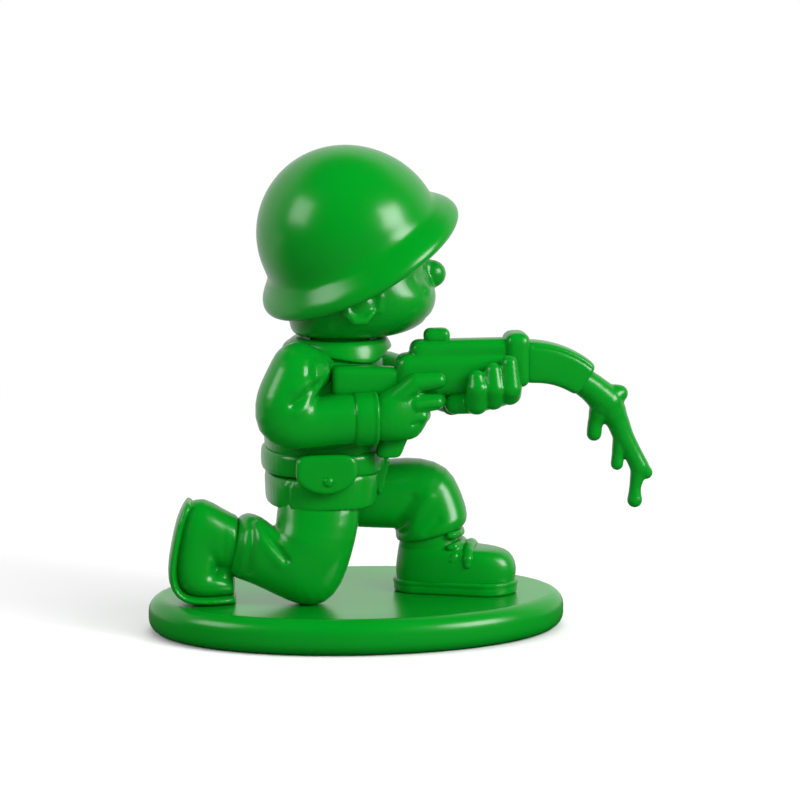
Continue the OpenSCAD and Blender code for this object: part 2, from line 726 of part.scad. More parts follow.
module right_cuff() {
    f = forearm_d / 2 + cuff_out;
    z = forearm_z + 0.2;
    color(green) difference() {
        loft([
            slice([right_cuff_x, forearm_y, z], 0, f - 0.5, f - 0.5),
            slice([right_cuff_x + 0.6, forearm_y, z], 0, f, f),
            slice([hand_x - 0.6, forearm_y, z], 0, f, f),
            slice([hand_x, forearm_y, z], 0, f - 0.5, f - 0.5)]);
        stock_room();
    }
}

// A rounded bar between two balls
module bar(p, q, r1, r2) {
    hull() {
        translate(p) sphere(r1, $fn = 14);
        translate(q) sphere(r2, $fn = 14);
    }
}

// A box with rounded long edges: x and z ranges, thickness w about the rifle's plane
module slab(x0, x1, z0, z1, w, r) {
    hull() for (x = [x0 + r, x1 - r], z = [z0 + r, z1 - r], s = [-1, 1])
        translate([x, rifle_y + s * (w / 2 - r), z]) sphere(r, $fn = 16);
}

// Pistol grip, leaning back, grown by out
module grip_shape(out) {
    x = grip_x;
    z = foreend_bottom;
    w = stock_w / 2 - 1 + out;
    low = [x - grip_l * sin(grip_lean), z - grip_l * cos(grip_lean)];
    hull() for (s = [-1, 1], p = [[x - grip_d / 2, z - 1.2], [x + grip_d / 2, z - 1.2],
        [low[0] - grip_d / 2, low[1] + 1.2], [low[0] + grip_d / 2, low[1] + 1.2]])
        translate([p[0], rifle_y + s * (w - 1), p[1]]) sphere(1 + out, $fn = 16);
}

module rifle_room() {
    translate([butt_x, rifle_y - foreend_w / 2 - skin_gap, foreend_bottom - skin_gap])
        cube([60, foreend_w + 2 * skin_gap, 40]);
}

module right_hand() {
    f = finger_d / 2;
    near = rifle_y - foreend_w / 2 - skin_gap - f;
    front = grip_x + 1.4;
    z = foreend_bottom;
    color(green) difference() {
        union() {
            // Wrist and back of the hand
            hull() {
                translate([hand_x + 0.1, forearm_y, forearm_z]) rotate([0, 90, 0])
                    cylinder(r = forearm_d / 2 - 0.9, h = 0.6, $fn = 24);
                translate([hand_x + 5, near + 1.6, z - 3]) sphere(f + 1.6, $fn = 16);
                translate([hand_x + 4.4, near + 1.6, z - 7.6]) sphere(f + 1, $fn = 16);
            }
            bar([hand_x + 5, near + 1.4, z - 1.2], [front - 1, near + 1, z - 2], f + 1, f + 0.5);
            // Index finger along the receiver
            bar([hand_x + 6, near + 0.2, z + 1.6], [grip_x + 6.2, near + 0.1, z + 3.6], f + 0.3, f - 0.2);
            bar([hand_x + 4.6, near + 1, z - 2], [hand_x + 7, near + 0.3, z + 1.4], f + 1, f + 0.6);
            // Three fingers round the grip, nearest the receiver first
            for (i = [0 : 2]) {
                x = front - i * 1.7;
                low = z - 2.4 - i * (finger_d - 0.3);
                bar([x - 4.4, near + 0.8, low], [x + 1.4, near + 2.6, low], f, f);
                bar([x + 1.4, near + 2.6, low], [x + 1.6, rifle_y + 1, low], f, f);
                bar([x + 1.6, rifle_y + 1, low], [x - 3, rifle_y + stock_w / 2 + 1.4, low], f, f - 0.3);
            }
            // Thumb on the far side
            bar([hand_x + 3, rifle_y + 1, z - 3], [front, rifle_y + stock_w / 2 + 1.2, z - 2], f + 0.4, f);
        }
        rifle_room();
        grip_shape(skin_gap);
        translate([hand_x - 20, rifle_y - 20, z - 30]) cube([20, 40, 60]);
    }
}

module left_sleeve() {
    y = left_face + sleeve_out - 1.6;
    half = sleeve_d / 2 - 0.6;
    f = forearm_d / 2 - 0.2;
    e = left_elbow;
    w = left_wrist;
    color(green) {
        difference() {
            loft([
                slice([butt_x - 6.4, y - 1.6, shoulder_z + 0.9], -60, 3, 3.2),
                slice([butt_x - 5.4, y - 1, shoulder_z - 0.6], -56, half - 1.6, half - 1.2),
                slice([butt_x - 3.4, y - 0.4, shoulder_z - 3.2], -48, half - 0.2, half - 0.2),
                slice([butt_x + 1, y, shoulder_z - 6], -30, half, half),
                slice([butt_x + 9, y + 0.4, e[2] + 1.8], -16, half - 0.3, half - 0.3, soft, -4),
                slice([e[0] - 2, e[1] - 0.3, e[2] + 0.4], -8, f + 0.4, f + 0.4, soft, -16),
                slice([e[0] + 2.4, e[1] - 3, e[2]], -4, f + 0.2, f + 0.2, soft, left_turn + 14),
                slice(e + (w - e) * 0.55, -4, f - 0.2, f, soft, left_turn),
                slice(e + (w - e) * 0.8, -4, f - 0.4, f - 0.3, soft, left_turn)]);
            translate([butt_x - 30, left_face - 20, waist_z]) cube([46, 20, torso_h + 20]);
        }
        shoulder_peg(left_face, 1, peg_r);
    }
}

module left_cuff() {
    f = forearm_d / 2 - 0.5 + cuff_out;
    e = left_elbow;
    w = left_wrist;
    s = (w - e) / norm(w - e);
    p = e + (w - e) * 0.8;
    color(green) loft([for (d = [0, 0.6, cuff_l - 0.6, cuff_l])
        let (g = d == 0 || d == cuff_l ? f - 0.5 : f)
        slice(p + s * d, -4, g, g, soft, left_turn)]);
}

module left_hand() {
    f = finger_d / 2 + 0.7;
    near = rifle_y - band_w / 2 - skin_gap - f;
    e = left_elbow;
    w = left_wrist;
    s = (w - e) / norm(w - e);
    wrist = e + (w - e) * 0.8 + s * (cuff_l + 0.1);
    under = foreend_bottom - 2.2;
    mid = band_x - 2;
    color(green) difference() {
        union() {
            // Wrist and palm under the fore-end
            hull() {
                translate(wrist) rotate([0, 94, left_turn])
                    cylinder(r = forearm_d / 2 - 1.4, h = 0.6, $fn = 24);
                for (i = [-1, 1])
                    translate([mid + i * 4, rifle_y + 1, under + 0.8 + i]) sphere(2.6, $fn = 16);
                translate([mid - 4, rifle_y + foreend_w / 2 + 2, under + 2]) sphere(3, $fn = 16);
            }
            // Three fingers that come up the near side
            for (i = [-1 : 1]) {
                x = mid + i * 5.3;
                top = foreend_bottom + 6.6 + i * 1.3;
                low = under + 1.4 + i * 1.2;
                bar([x, rifle_y - 1, low], [x, near + 1.2, low + 1.2], f, f);
                bar([x, near + 1.2, low + 1.2], [x, near - 0.2, foreend_bottom + 3], f, f);
                bar([x, near - 0.2, foreend_bottom + 3], [x, near + 0.4, top], f, f - 0.4);
            }
            // Heel of the hand and thumb
            bar([mid - 8.6, rifle_y - 2.4, under + 0.2], [mid - 5, rifle_y - 3, under + 0.6], f, f + 0.4);
            bar([mid - 5, rifle_y + foreend_w / 2 + 2.6, under + 2],
                [mid + 1, rifle_y + foreend_w / 2 + 2.6, foreend_bottom + 4.6], f, f - 0.4);
        }
        rifle_room();
        translate([band_x - skin_gap, rifle_y - band_w / 2 - skin_gap, barrel_z - band_h / 2 - skin_gap])
            cube([20, band_w + 2 * skin_gap, 30]);
    }
}

module rifle_stock() {
    top = stock_top;
    w = stock_w / 2 - 1.4;
    color(green) hull() {
        for (s = [-1, 1]) {
            translate([butt_x + 2, rifle_y + s * w, top - 2]) sphere(1.4, $fn = 16);
            translate([butt_x + 1.4, rifle_y + s * w, top - stock_h + 1.4]) sphere(1.4, $fn = 16);
        }
        for (z = [foreend_bottom + 1, foreend_top - 0.8])
            translate([receiver_x - 0.4, rifle_y, z]) rotate([0, 90, 0])
                cylinder(r = 1, h = 0.4, $fn = 16);
        translate([receiver_x - 0.4, rifle_y - w, foreend_bottom + 2]) cube([0.4, 2 * w, 3.4]);
    }
}

module pistol_grip() {
    color(green) translate([0, 0, -skin_gap]) grip_shape(0);
}

// A bar along X with rounded edges: x and z ranges, thickness w about the rifle's plane
module rail(x0, x1, z0, z1, w, r) {
    translate([x0, rifle_y, z0]) rotate([90, 0, 90]) linear_extrude(x1 - x0) {
        for (y = [-1, 1], z = [r, z1 - z0 - r]) translate([y * (w / 2 - r), z]) circle(r);
        translate([r - w / 2, 0]) square([w - 2 * r, z1 - z0]);
        translate([-w / 2, r]) square([w, z1 - z0 - 2 * r]);
    }
}

module rifle_receiver() {
    color(green) {
        rail(receiver_x, band_x + 1, foreend_bottom, foreend_top + 1, foreend_w, 1.6);
        rail(receiver_x + 2.4, band_x, foreend_top - 1, barrel_z + receiver_up, receiver_w, 1.2);
    }
}

module rear_sight() {
    x = receiver_x + 4.8;
    color(green) translate([x, rifle_y, barrel_z + receiver_up]) rotate([90, 0, 0])
        linear_extrude(receiver_w * 0.6, center = true) {
            translate([1.4, 0]) square([sight_l - 2.8, sight_h]);
            square([sight_l, sight_h - 1.4]);
            for (s = [1.4, sight_l - 1.4]) translate([s, sight_h - 1.4]) circle(1.4);
        }
}

module front_band() {
    color(green) slab(band_x + 1 + skin_gap, muzzle_x, barrel_z - band_h / 2,
        barrel_z + band_h / 2, band_w, 1.6);
}

// A point on the drooping barrel's middle line, and its slope
function droop_at(t) = [muzzle_x + skin_gap + 1 + droop_r * sin(t), barrel_z - droop_r * (1 - cos(t))];

module drooping_barrel() {
    color(green) loft(concat(
        [slice([muzzle_x + skin_gap, rifle_y, barrel_z], 0, barrel_w / 2, barrel_h / 2, 3.4)],
        [for (i = [0 : 6])
            let (t = droop * i / 6, p = droop_at(t), shrink = i == 6 ? 0.9 : 0)
            slice([p[0], rifle_y, p[1]], -t, barrel_w / 2 - shrink, barrel_h / 2 - i * 0.2 - shrink, 3.4)]));
}

module melted_muzzle() {
    p = droop_at(droop);
    r = stream_d / 2;
    s = r / 2.7;
    out = [cos(droop), 0, -sin(droop)];
    start = [p[0], rifle_y, p[1]] + out * (skin_gap + r * 0.92);
    blob = start + [2.8, 0, -3.2];
    turn = blob + [2.5, 0, -6.8];
    knot = turn + [6, 0, -11];
    neck_at = knot + [-1.4, 0, -4];
    // Each melted stretch: from, to, and the radius at both ends
    runs = [
        [start + [0.6, 0, 0.8], blob + [0.6, 0, 0.6], r * 0.86, r * 1.05],
        [start + [-0.8, 0, -1.2], blob + [-1.4, 0, -1.2], r * 0.8, r],
        [blob + [-2, 0, -1.6], start + [-0.3, 0, -8.6], r * 0.74, s * 1.35],
        [start + [-0.3, 0, -8.6], start + [-0.3, 0, -11.7], s * 1.35, s * 1.65],
        [blob + [1, 0, 1], blob + [4.4, 0, 1.2], r * 0.8, s],
        [blob, turn, r * 1.05, r * 0.9],
        [turn, knot, r * 0.9, r * 0.72],
        [turn + [0.6, 0, -3.4], turn + [0, 0, -9.6], s * 1.5, s * 1.3],
        [knot, knot + [2.5, 0, -1.3], r * 0.66, s * 0.8],
        [knot, neck_at, r * 0.7, s * 1.2],
        [neck_at, neck_at + [0, 0, -3.4], s * 1.2, s * 1.75]];
    color(green) for (m = runs) bar(m[0], m[1], m[2], m[3]);
}

base_plate();
right_leg();
right_boot();
right_boot_sole();
left_leg();
left_boot();
left_boot_sole();
left_boot_laces();
jacket_skirt();
jacket_flap();
belt();
waist_post();
jacket();
pouch();
pouch_flap();
pouch_snap();
collar();
neck();
head();
helmet();
right_sleeve();
right_cuff();
right_hand();
left_sleeve();
left_cuff();
left_hand();
rifle_stock();
pistol_grip();
rifle_receiver();
rear_sight();
front_band();
drooping_barrel();
melted_muzzle();
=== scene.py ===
"""Looks of a kneeling toy soldier, moulded in one glossy green plastic.

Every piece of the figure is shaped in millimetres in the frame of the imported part, fused to a smooth
moulded skin, and then stands for its node. X is the way the soldier faces, Y is to the soldier's left
and Z is up.
"""
from __future__ import annotations

import logging
import math
from abc import ABC, abstractmethod
from dataclasses import dataclass, field
from enum import Enum

import bmesh
import bpy
from mathutils import Matrix, Vector

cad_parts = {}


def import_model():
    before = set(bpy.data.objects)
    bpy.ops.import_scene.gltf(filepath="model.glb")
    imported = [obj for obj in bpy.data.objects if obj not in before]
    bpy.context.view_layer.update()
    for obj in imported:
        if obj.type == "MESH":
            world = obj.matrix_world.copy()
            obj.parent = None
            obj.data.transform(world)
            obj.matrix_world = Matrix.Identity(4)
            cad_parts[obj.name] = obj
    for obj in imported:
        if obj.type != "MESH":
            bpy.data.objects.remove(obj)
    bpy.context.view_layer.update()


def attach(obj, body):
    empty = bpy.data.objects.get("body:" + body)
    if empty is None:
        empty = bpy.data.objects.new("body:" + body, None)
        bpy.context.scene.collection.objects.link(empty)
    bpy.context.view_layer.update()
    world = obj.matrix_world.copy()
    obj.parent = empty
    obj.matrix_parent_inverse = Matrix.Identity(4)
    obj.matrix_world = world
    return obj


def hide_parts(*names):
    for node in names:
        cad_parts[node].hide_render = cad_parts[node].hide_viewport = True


LOG = logging.getLogger("toy_soldier")
MM = 0.001
SOFT = 2.3
SIDES = 24
GLOSS_SPREAD = 0.06
GRAIN_HEIGHT = 0.00004

# Places in millimetres that several pieces share.
BASE_TOP = 9.0
HEM_Z = 33.2
SHOULDER_Z = 70.5
MID_Y = -3.0
BUTT_X = -8.5
BAND_X = 34.5
RIFLE_Y = -16.9
RIFLE_LOW = 61.2

Ring = list[Vector]


class Body(Enum):
    """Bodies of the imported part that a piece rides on."""

    FIGURE = "figure"
    HEAD = "head_turn"


class Detail(Enum):
    """Voxel sizes in millimetres for the fused skins."""

    FINE = 0.28
    MEDIUM = 0.36


def signed_pow(x: float, e: float) -> float:
    """Raises the size of a number to a power and keeps its sign.

    Args:
        x: The base.
        e: The exponent.

    Returns:
        The power, with the sign of x.
    """
    return math.copysign(abs(x) ** e, x)


def slice_ring(at: tuple, pitch: float, a: float, b: float, k: float = SOFT, turn: float = 0.0,
               n: int = SIDES) -> Ring:
    """Makes a closed ring of points across a limb.

    Args:
        at: Middle of the ring.
        pitch: Direction of the limb above the X axis, in degrees.
        a: Half size across.
        b: Half size in the plane of the bend.
        k: Squareness, where 2 is an ellipse.
        turn: Direction of the limb about Z, in degrees.
        n: Number of points.

    Returns:
        The points of the ring.
    """
    p, t = math.radians(pitch), math.radians(turn)
    w = Vector((math.cos(p) * math.cos(t), math.cos(p) * math.sin(t), math.sin(p)))
    u = Vector((-math.sin(t), math.cos(t), 0))
    v = w.cross(u)
    angles = [2 * math.pi * i / n for i in range(n)]
    return [Vector(at) + u * a * signed_pow(math.cos(q), 2 / k) + v * b * signed_pow(math.sin(q), 2 / k)
            for q in angles]


def fan(corner: tuple, y: float, pitch: float, near: float, far: float, a: float, side: int) -> Ring:
    """Makes a ring that fans out from the inner corner of a bend.

    Args:
        corner: X and Z of the bend's inner corner.
        y: Place of the ring across the figure.
        pitch: Direction of the limb above the X axis, in degrees.
        near: Distance of the ring's near side from the corner.
        far: Distance of the ring's far side from the corner.
        a: Half size across.
        side: 1 or -1, the side of the corner that the ring lies on.

    Returns:
        The points of the ring.
    """
    p = math.radians(pitch)
    mid = side * (near + far) / 2
    return slice_ring((corner[0] - math.sin(p) * mid, y, corner[1] + math.cos(p) * mid), pitch, a,
                      (far - near) / 2)


def level(z: float, x_low: float, x_high: float, y: float, a: float, k: float = SOFT,
          n: int = SIDES) -> Ring:
    """Makes a level ring between two places along X.

    Args:
        z: Height of the ring.
        x_low: Lowest X.
        x_high: Highest X.
        y: Middle across the figure.
        a: Half size across.
        k: Squareness, where 2 is an ellipse.
        n: Number of points.

    Returns:
        The points of the ring.
    """
    return slice_ring(((x_low + x_high) / 2, y, z), 90, a, (x_high - x_low) / 2, k, 0, n)


def inner(ring: Ring, keep: float = 0.9) -> Ring:
    """Shrinks a ring towards its middle, which keeps the edge of a loft's end firm.

    Args:
        ring: The ring.
        keep: Size of the new ring as a share of the old one.

    Returns:
        The smaller ring.
    """
    mid = sum(ring, Vector()) / len(ring)
    return [mid + (p - mid) * keep for p in ring]


@dataclass(frozen=True)
class Fold:
    """A crease or a ridge that follows a line over a piece.

    Attributes:
        line: Points of the line, in millimetres.
        width: Reach of the fold to each side.
        depth: Height of the fold, below 0 for a crease.
    """

    line: tuple
    width: float
    depth: float

    def push(self, p: Vector) -> float:
        """Gives the height of the fold at a point.

        Args:
            p: A point on the piece.

        Returns:
            The distance to move along the normal.
        """
        best = 1e9
        for a, b in zip(self.line, self.line[1:]):
            a, b = Vector(a), Vector(b)
            d = b - a
            t = min(max((p - a).dot(d) / d.length_squared, 0.0), 1.0)
            best = min(best, (p - a - d * t).length)
        return self.depth * math.exp(-(best / self.width) ** 2) if best < 3 * self.width else 0.0


def folds_at(origin: tuple, *rows: tuple) -> tuple[Fold, ...]:
    """Makes folds whose points count from one place.

    Args:
        origin: The place.
        rows: For each fold its points, its width and its depth.

    Returns:
        The folds.
    """
    x, y, z = origin
    return tuple(Fold(tuple((x + dx, y + dy, z + dz) for dx, dy, dz in line), width, depth)
                 for line, width, depth in rows)


class Clay:
    """Closed lumps in millimetres that are fused to one smooth moulded skin."""

    def __init__(self) -> None:
        self.lumps = bmesh.new()

    def _take(self, part: bmesh.types.BMesh, levels: int = 0) -> None:
        """Adds a lump, smoothed by subdivision.

        Args:
            part: The lump, which is used up.
            levels: Levels of subdivision.
        """
        bmesh.ops.recalc_face_normals(part, faces=part.faces)
        mods = [("SUBSURF", {"levels": levels, "render_levels": levels})] if levels else []
        mesh = evaluated(part, mods)
        self.lumps.from_mesh(mesh)
        bpy.data.meshes.remove(mesh)

    def loft(self, rings: list[Ring], levels: int = 1) -> Clay:
        """Adds a solid through a list of rings.

        Args:
            rings: Rings of the same number of points.
            levels: Levels of subdivision.

        Returns:
            The clay.
        """
        part = bmesh.new()
        loops = []
        if levels:
            rings = [inner(rings[0]), *rings, inner(rings[-1])]
        for ring in rings:
            verts = bmesh.ops.create_circle(part, segments=len(ring), radius=1.0)["verts"]
            for v, p in zip(verts, ring):
                v.co = p
            loops.append(list({e for v in verts for e in v.link_edges}))
        for a, b in zip(loops, loops[1:]):
            bmesh.ops.bridge_loops(part, edges=a + b)
        for loop in (loops[0], loops[-1]):
            bmesh.ops.edgeloop_fill(part, edges=loop)
        self._take(part, levels)
        return self

    def ball(self, at: tuple, size: tuple | float, turn: tuple = (0, 0, 0)) -> Clay:
        """Adds an ellipsoid.

        Args:
            at: Its middle.
            size: Its half sizes, or its radius.
            turn: Its rotation about X, Y and Z, in degrees.

        Returns:
            The clay.
        """
        part = bmesh.new()
        size = size if isinstance(size, tuple) else (size, size, size)
        frame = Matrix.Translation(at)
        for angle, axis in zip(turn, "XYZ"):
            frame = frame @ Matrix.Rotation(math.radians(angle), 4, axis)
        bmesh.ops.create_uvsphere(part, u_segments=32, v_segments=20, radius=1.0,
                                  matrix=frame @ Matrix.Diagonal((*size, 1)))
        self._take(part)
        return self

    def bar(self, p: tuple, q: tuple, r1: float, r2: float) -> Clay:
        """Adds a rounded bar between two balls.

        Args:
            p: Middle of the first ball.
            q: Middle of the second ball.
            r1: Radius of the first ball.
            r2: Radius of the second ball.

        Returns:
            The clay.
        """
        p, q = Vector(p), Vector(q)
        part = bmesh.new()
        turn = (q - p).to_track_quat("Z", "Y").to_matrix().to_4x4()
        bmesh.ops.create_cone(part, cap_ends=True, segments=24, radius1=r1, radius2=r2,
                              depth=(q - p).length, matrix=Matrix.Translation((p + q) / 2) @ turn)
        self._take(part)
        return self.ball(tuple(p), r1).ball(tuple(q), r2)

    def path(self, points: list[tuple], radii: list[float]) -> Clay:
        """Adds rounded bars along a line.

        Args:
            points: Points of the line.
            radii: Radius at each point.

        Returns:
            The clay.
        """
        for i in range(len(points) - 1):
            self.bar(points[i], points[i + 1], radii[i], radii[i + 1])
        return self

    def block(self, low: tuple, high: tuple, r: float, frame: Matrix = Matrix()) -> Clay:
        """Adds a box with rounded edges.

        Args:
            low: Lowest corner.
            high: Highest corner.
            r: Radius of the edges.
            frame: Place of the box.

        Returns:
            The clay.
        """
        part = bmesh.new()
        low, high = Vector(low), Vector(high)
        bmesh.ops.create_cube(part, size=1.0, matrix=frame @ Matrix.Translation((low + high) / 2)
                              @ Matrix.Diagonal((*(high - low), 1)))
        bmesh.ops.bevel(part, geom=part.edges[:], offset=r, segments=4, profile=0.5, affect="EDGES",
                        material=-1)
        self._take(part)
        return self

    def fuse(self, voxel: float, smooth: int, folds: tuple = ()) -> bmesh.types.BMesh:
        """Fuses the lumps to one skin and presses the folds into it.

        Args:
            voxel: Size of the skin's cells.
            smooth: Rounds of smoothing.
            folds: Creases and ridges.

        Returns:
            The skin.
        """
        mesh = evaluated(self.lumps, [
            ("REMESH", {"mode": "VOXEL", "voxel_size": voxel}),
            ("SMOOTH", {"factor": 0.5, "iterations": smooth})])
        skin = bmesh.new()
        skin.from_mesh(mesh)
        bpy.data.meshes.remove(mesh)
        skin.normal_update()
        moves = [(v, v.normal * sum(f.push(v.co) for f in folds)) for v in skin.verts] if folds else []
        for v, move in moves:
            v.co += move
        if folds:
            bmesh.ops.smooth_vert(skin, verts=skin.verts, factor=0.3, use_axis_x=True, use_axis_y=True,
                                  use_axis_z=True)
        return skin


def evaluated(part: bmesh.types.BMesh, mods: list[tuple[str, dict]]) -> bpy.types.Mesh:
    """Runs modifiers over a lump.

    Args:
        part: The lump, which is used up.
        mods: Kind and settings of each modifier.

    Returns:
        The resulting mesh.
    """
    mesh = bpy.data.meshes.new("lump")
    part.to_mesh(mesh)
    part.free()
    if not mods:
        return mesh
    obj = bpy.data.objects.new("lump", mesh)
    bpy.context.scene.collection.objects.link(obj)
    for kind, settings in mods:
        mod = obj.modifiers.new(kind.lower(), kind)
        for key, value in settings.items():
            setattr(mod, key, value)
    graph = bpy.context.evaluated_depsgraph_get()
    out = bpy.data.meshes.new_from_object(obj.evaluated_get(graph), depsgraph=graph)
    bpy.data.objects.remove(obj)
    bpy.data.meshes.remove(mesh)
    return out


def add_node(tree: bpy.types.NodeTree, kind: str, inputs: dict | None = None,
             **options: object) -> bpy.types.Node:
    """Adds a shader node.

    Args:
        tree: The node tree.
        kind: Type of the node, without its prefix.
        inputs: Values of its inputs.
        options: Values of its properties.

    Returns:
        The node.
    """
    node = tree.nodes.new("ShaderNode" + kind)
    for key, value in options.items():
        setattr(node, key, value)
    for key, value in (inputs or {}).items():
        node.inputs[key].default_value = value
    return node


def soft_ramp(tree: bpy.types.NodeTree, start: float, end: float, low: float,
              high: float) -> bpy.types.Node:
    """Adds a soft ramp between two values.

    Args:
        tree: The node tree.
        start: Input at which the ramp begins.
        end: Input at which the ramp ends.
        low: Output at the start.
        high: Output at the end.

    Returns:
        The node.
    """
    return add_node(tree, "MapRange", {"From Min": start, "From Max": end, "To Min": low, "To Max": high},
                    interpolation_type="SMOOTHSTEP")


def wire(tree: bpy.types.NodeTree, *links: tuple) -> None:
    """Links nodes.

    Args:
        tree: The node tree.
        links: For each link its first node and output, and its second node and input.
    """
    for source, out, target, into in links:
        tree.links.new(source.outputs[out], target.inputs[into])


@dataclass(frozen=True)
class PlasticFinish:
    """A glossy moulded plastic.

    Attributes:
        name: Name of the material.
        deep: Colour where the swirl is low.
        light: Colour where the swirl is high.
        roughness: Middle roughness.
        grain: Height of the fine grain.
    """

    name: str
    deep: tuple = (0.0003, 0.198, 0.0075)
    light: tuple = (0.0006, 0.232, 0.013)
    roughness: float = 0.25
    grain: float = 0.03

    def build(self) -> bpy.types.Material:
        """Makes the material.

        Returns:
            The material.
        """
        mat = bpy.data.materials.new(self.name)
        mat.use_nodes = True
        tree = mat.node_tree
        shader = tree.nodes["Principled BSDF"]
        shader.inputs["IOR"].default_value = 1.5
        coords = add_node(tree, "TexCoord")
        tone = add_node(tree, "Group", {"Deep": (*self.deep, 1), "Light": (*self.light, 1),
                                        "Roughness": self.roughness, "Grain": self.grain},
                        node_tree=moulded_tone())
        wire(tree, (coords, "Object", tone, "Place"), (tone, "Colour", shader, "Base Color"),
             (tone, "Roughness", shader, "Roughness"), (tone, "Normal", shader, "Normal"))
        return mat


def moulded_tone() -> bpy.types.NodeTree:
    """Makes the shared look of moulded plastic: a faint swirl, a faint grain and uneven gloss.

    Returns:
        The node group.
    """
    name = "moulded_tone"
    if name in bpy.data.node_groups:
        return bpy.data.node_groups[name]
    group = bpy.data.node_groups.new(name, "ShaderNodeTree")
    sockets = {"INPUT": (("Place", "Vector"), ("Deep", "Color"), ("Light", "Color"), ("Roughness", "Float"),
                         ("Grain", "Float")),
               "OUTPUT": (("Colour", "Color"), ("Roughness", "Float"), ("Normal", "Vector"))}
    for way, labels in sockets.items():
        for label, kind in labels:
            group.interface.new_socket(label, in_out=way, socket_type="NodeSocket" + kind)
    inlet, outlet = group.nodes.new("NodeGroupInput"), group.nodes.new("NodeGroupOutput")
    swirl = add_node(group, "TexNoise", {"Scale": 28, "Detail": 3, "Distortion": 0.6})
    grain = add_node(group, "TexNoise", {"Scale": 900, "Detail": 2})
    mix = add_node(group, "Mix", data_type="RGBA")
    gloss = add_node(group, "Math", {1: GLOSS_SPREAD}, operation="MULTIPLY_ADD")
    shift = add_node(group, "Math", {1: GLOSS_SPREAD / 2}, operation="SUBTRACT")
    bump = add_node(group, "Bump", {"Distance": GRAIN_HEIGHT})
    wire(group, (inlet, "Place", swirl, "Vector"), (inlet, "Place", grain, "Vector"),
         (swirl, "Fac", mix, "Factor"), (inlet, "Deep", mix, "A"), (inlet, "Light", mix, "B"),
         (inlet, "Roughness", shift, 0), (swirl, "Fac", gloss, 0), (shift, 0, gloss, 2),
         (inlet, "Grain", bump, "Strength"), (grain, "Fac", bump, "Height"),
         (mix, "Result", outlet, "Colour"), (gloss, 0, outlet, "Roughness"),
         (bump, "Normal", outlet, "Normal"))
    return group


@dataclass
class Kit:
    """Puts finished skins into the scene.

    Attributes:
        finish: The plastic that all pieces share.
    """

    finish: PlasticFinish
    material: bpy.types.Material = field(init=False)

    def __post_init__(self) -> None:
        self.material = self.finish.build()

    def place(self, node: str, skin: bmesh.types.BMesh, body: Body = Body.FIGURE) -> None:
        """Makes an object from a skin and lets it stand for a node.

        Args:
            node: Name of the node.
            skin: The skin in millimetres, which is used up.
            body: The body that it rides on.
        """
        bmesh.ops.scale(skin, vec=(MM, MM, MM), verts=skin.verts)
        bmesh.ops.recalc_face_normals(skin, faces=skin.faces)
        for f in skin.faces:
            f.smooth = len(f.verts) <= 4
        mesh = bpy.data.meshes.new(node + "_skin")
        skin.to_mesh(mesh)
        skin.free()
        mesh.materials.append(self.material)
        obj = bpy.data.objects.new(node + "_skin", mesh)
        bpy.context.scene.collection.objects.link(obj)
        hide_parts(node)
        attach(obj, body.value)
        LOG.info("%s: %d faces", node, len(mesh.polygons))

    def cast(self, node: str, clay: Clay, detail: Detail = Detail.MEDIUM, smooth: int = 6,
             folds: tuple = (), body: Body = Body.FIGURE) -> None:
        """Fuses clay and places it.

        Args:
            node: Name of the node.
            clay: The lumps.
            detail: Size of the skin's cells.
            smooth: Rounds of smoothing.
            folds: Creases and ridges.
            body: The body that it rides on.
        """
        self.place(node, clay.fuse(detail.value, smooth, folds), body)


class Piece(ABC):
    """A group of pieces that is made together."""

    @abstractmethod
    def build(self, kit: Kit) -> None:
        """Makes the pieces.

        Args:
            kit: Where the pieces go.
        """


@dataclass
class Base(Piece):
    """Oval plate with a rounded edge."""

    length: float = 104.0
    width: float = 72.0
    height: float = BASE_TOP
    edge: float = 3.6
    sides: int = 128

    def build(self, kit: Kit) -> None:
        """Makes the plate."""
        rings = []
        for mid, angles in ((self.edge, range(-90, 1, 15)), (self.height - self.edge, range(0, 91, 15))):
            for t in angles:
                inset = self.edge * (1 - math.cos(math.radians(t)))
                z = mid + self.edge * math.sin(math.radians(t))
                rings.append(level(z, inset - self.length / 2, self.length / 2 - inset, 0,
                                   self.width / 2 - inset, 2, self.sides))
        kit.place("base_plate", Clay().loft(rings, 0).lumps)


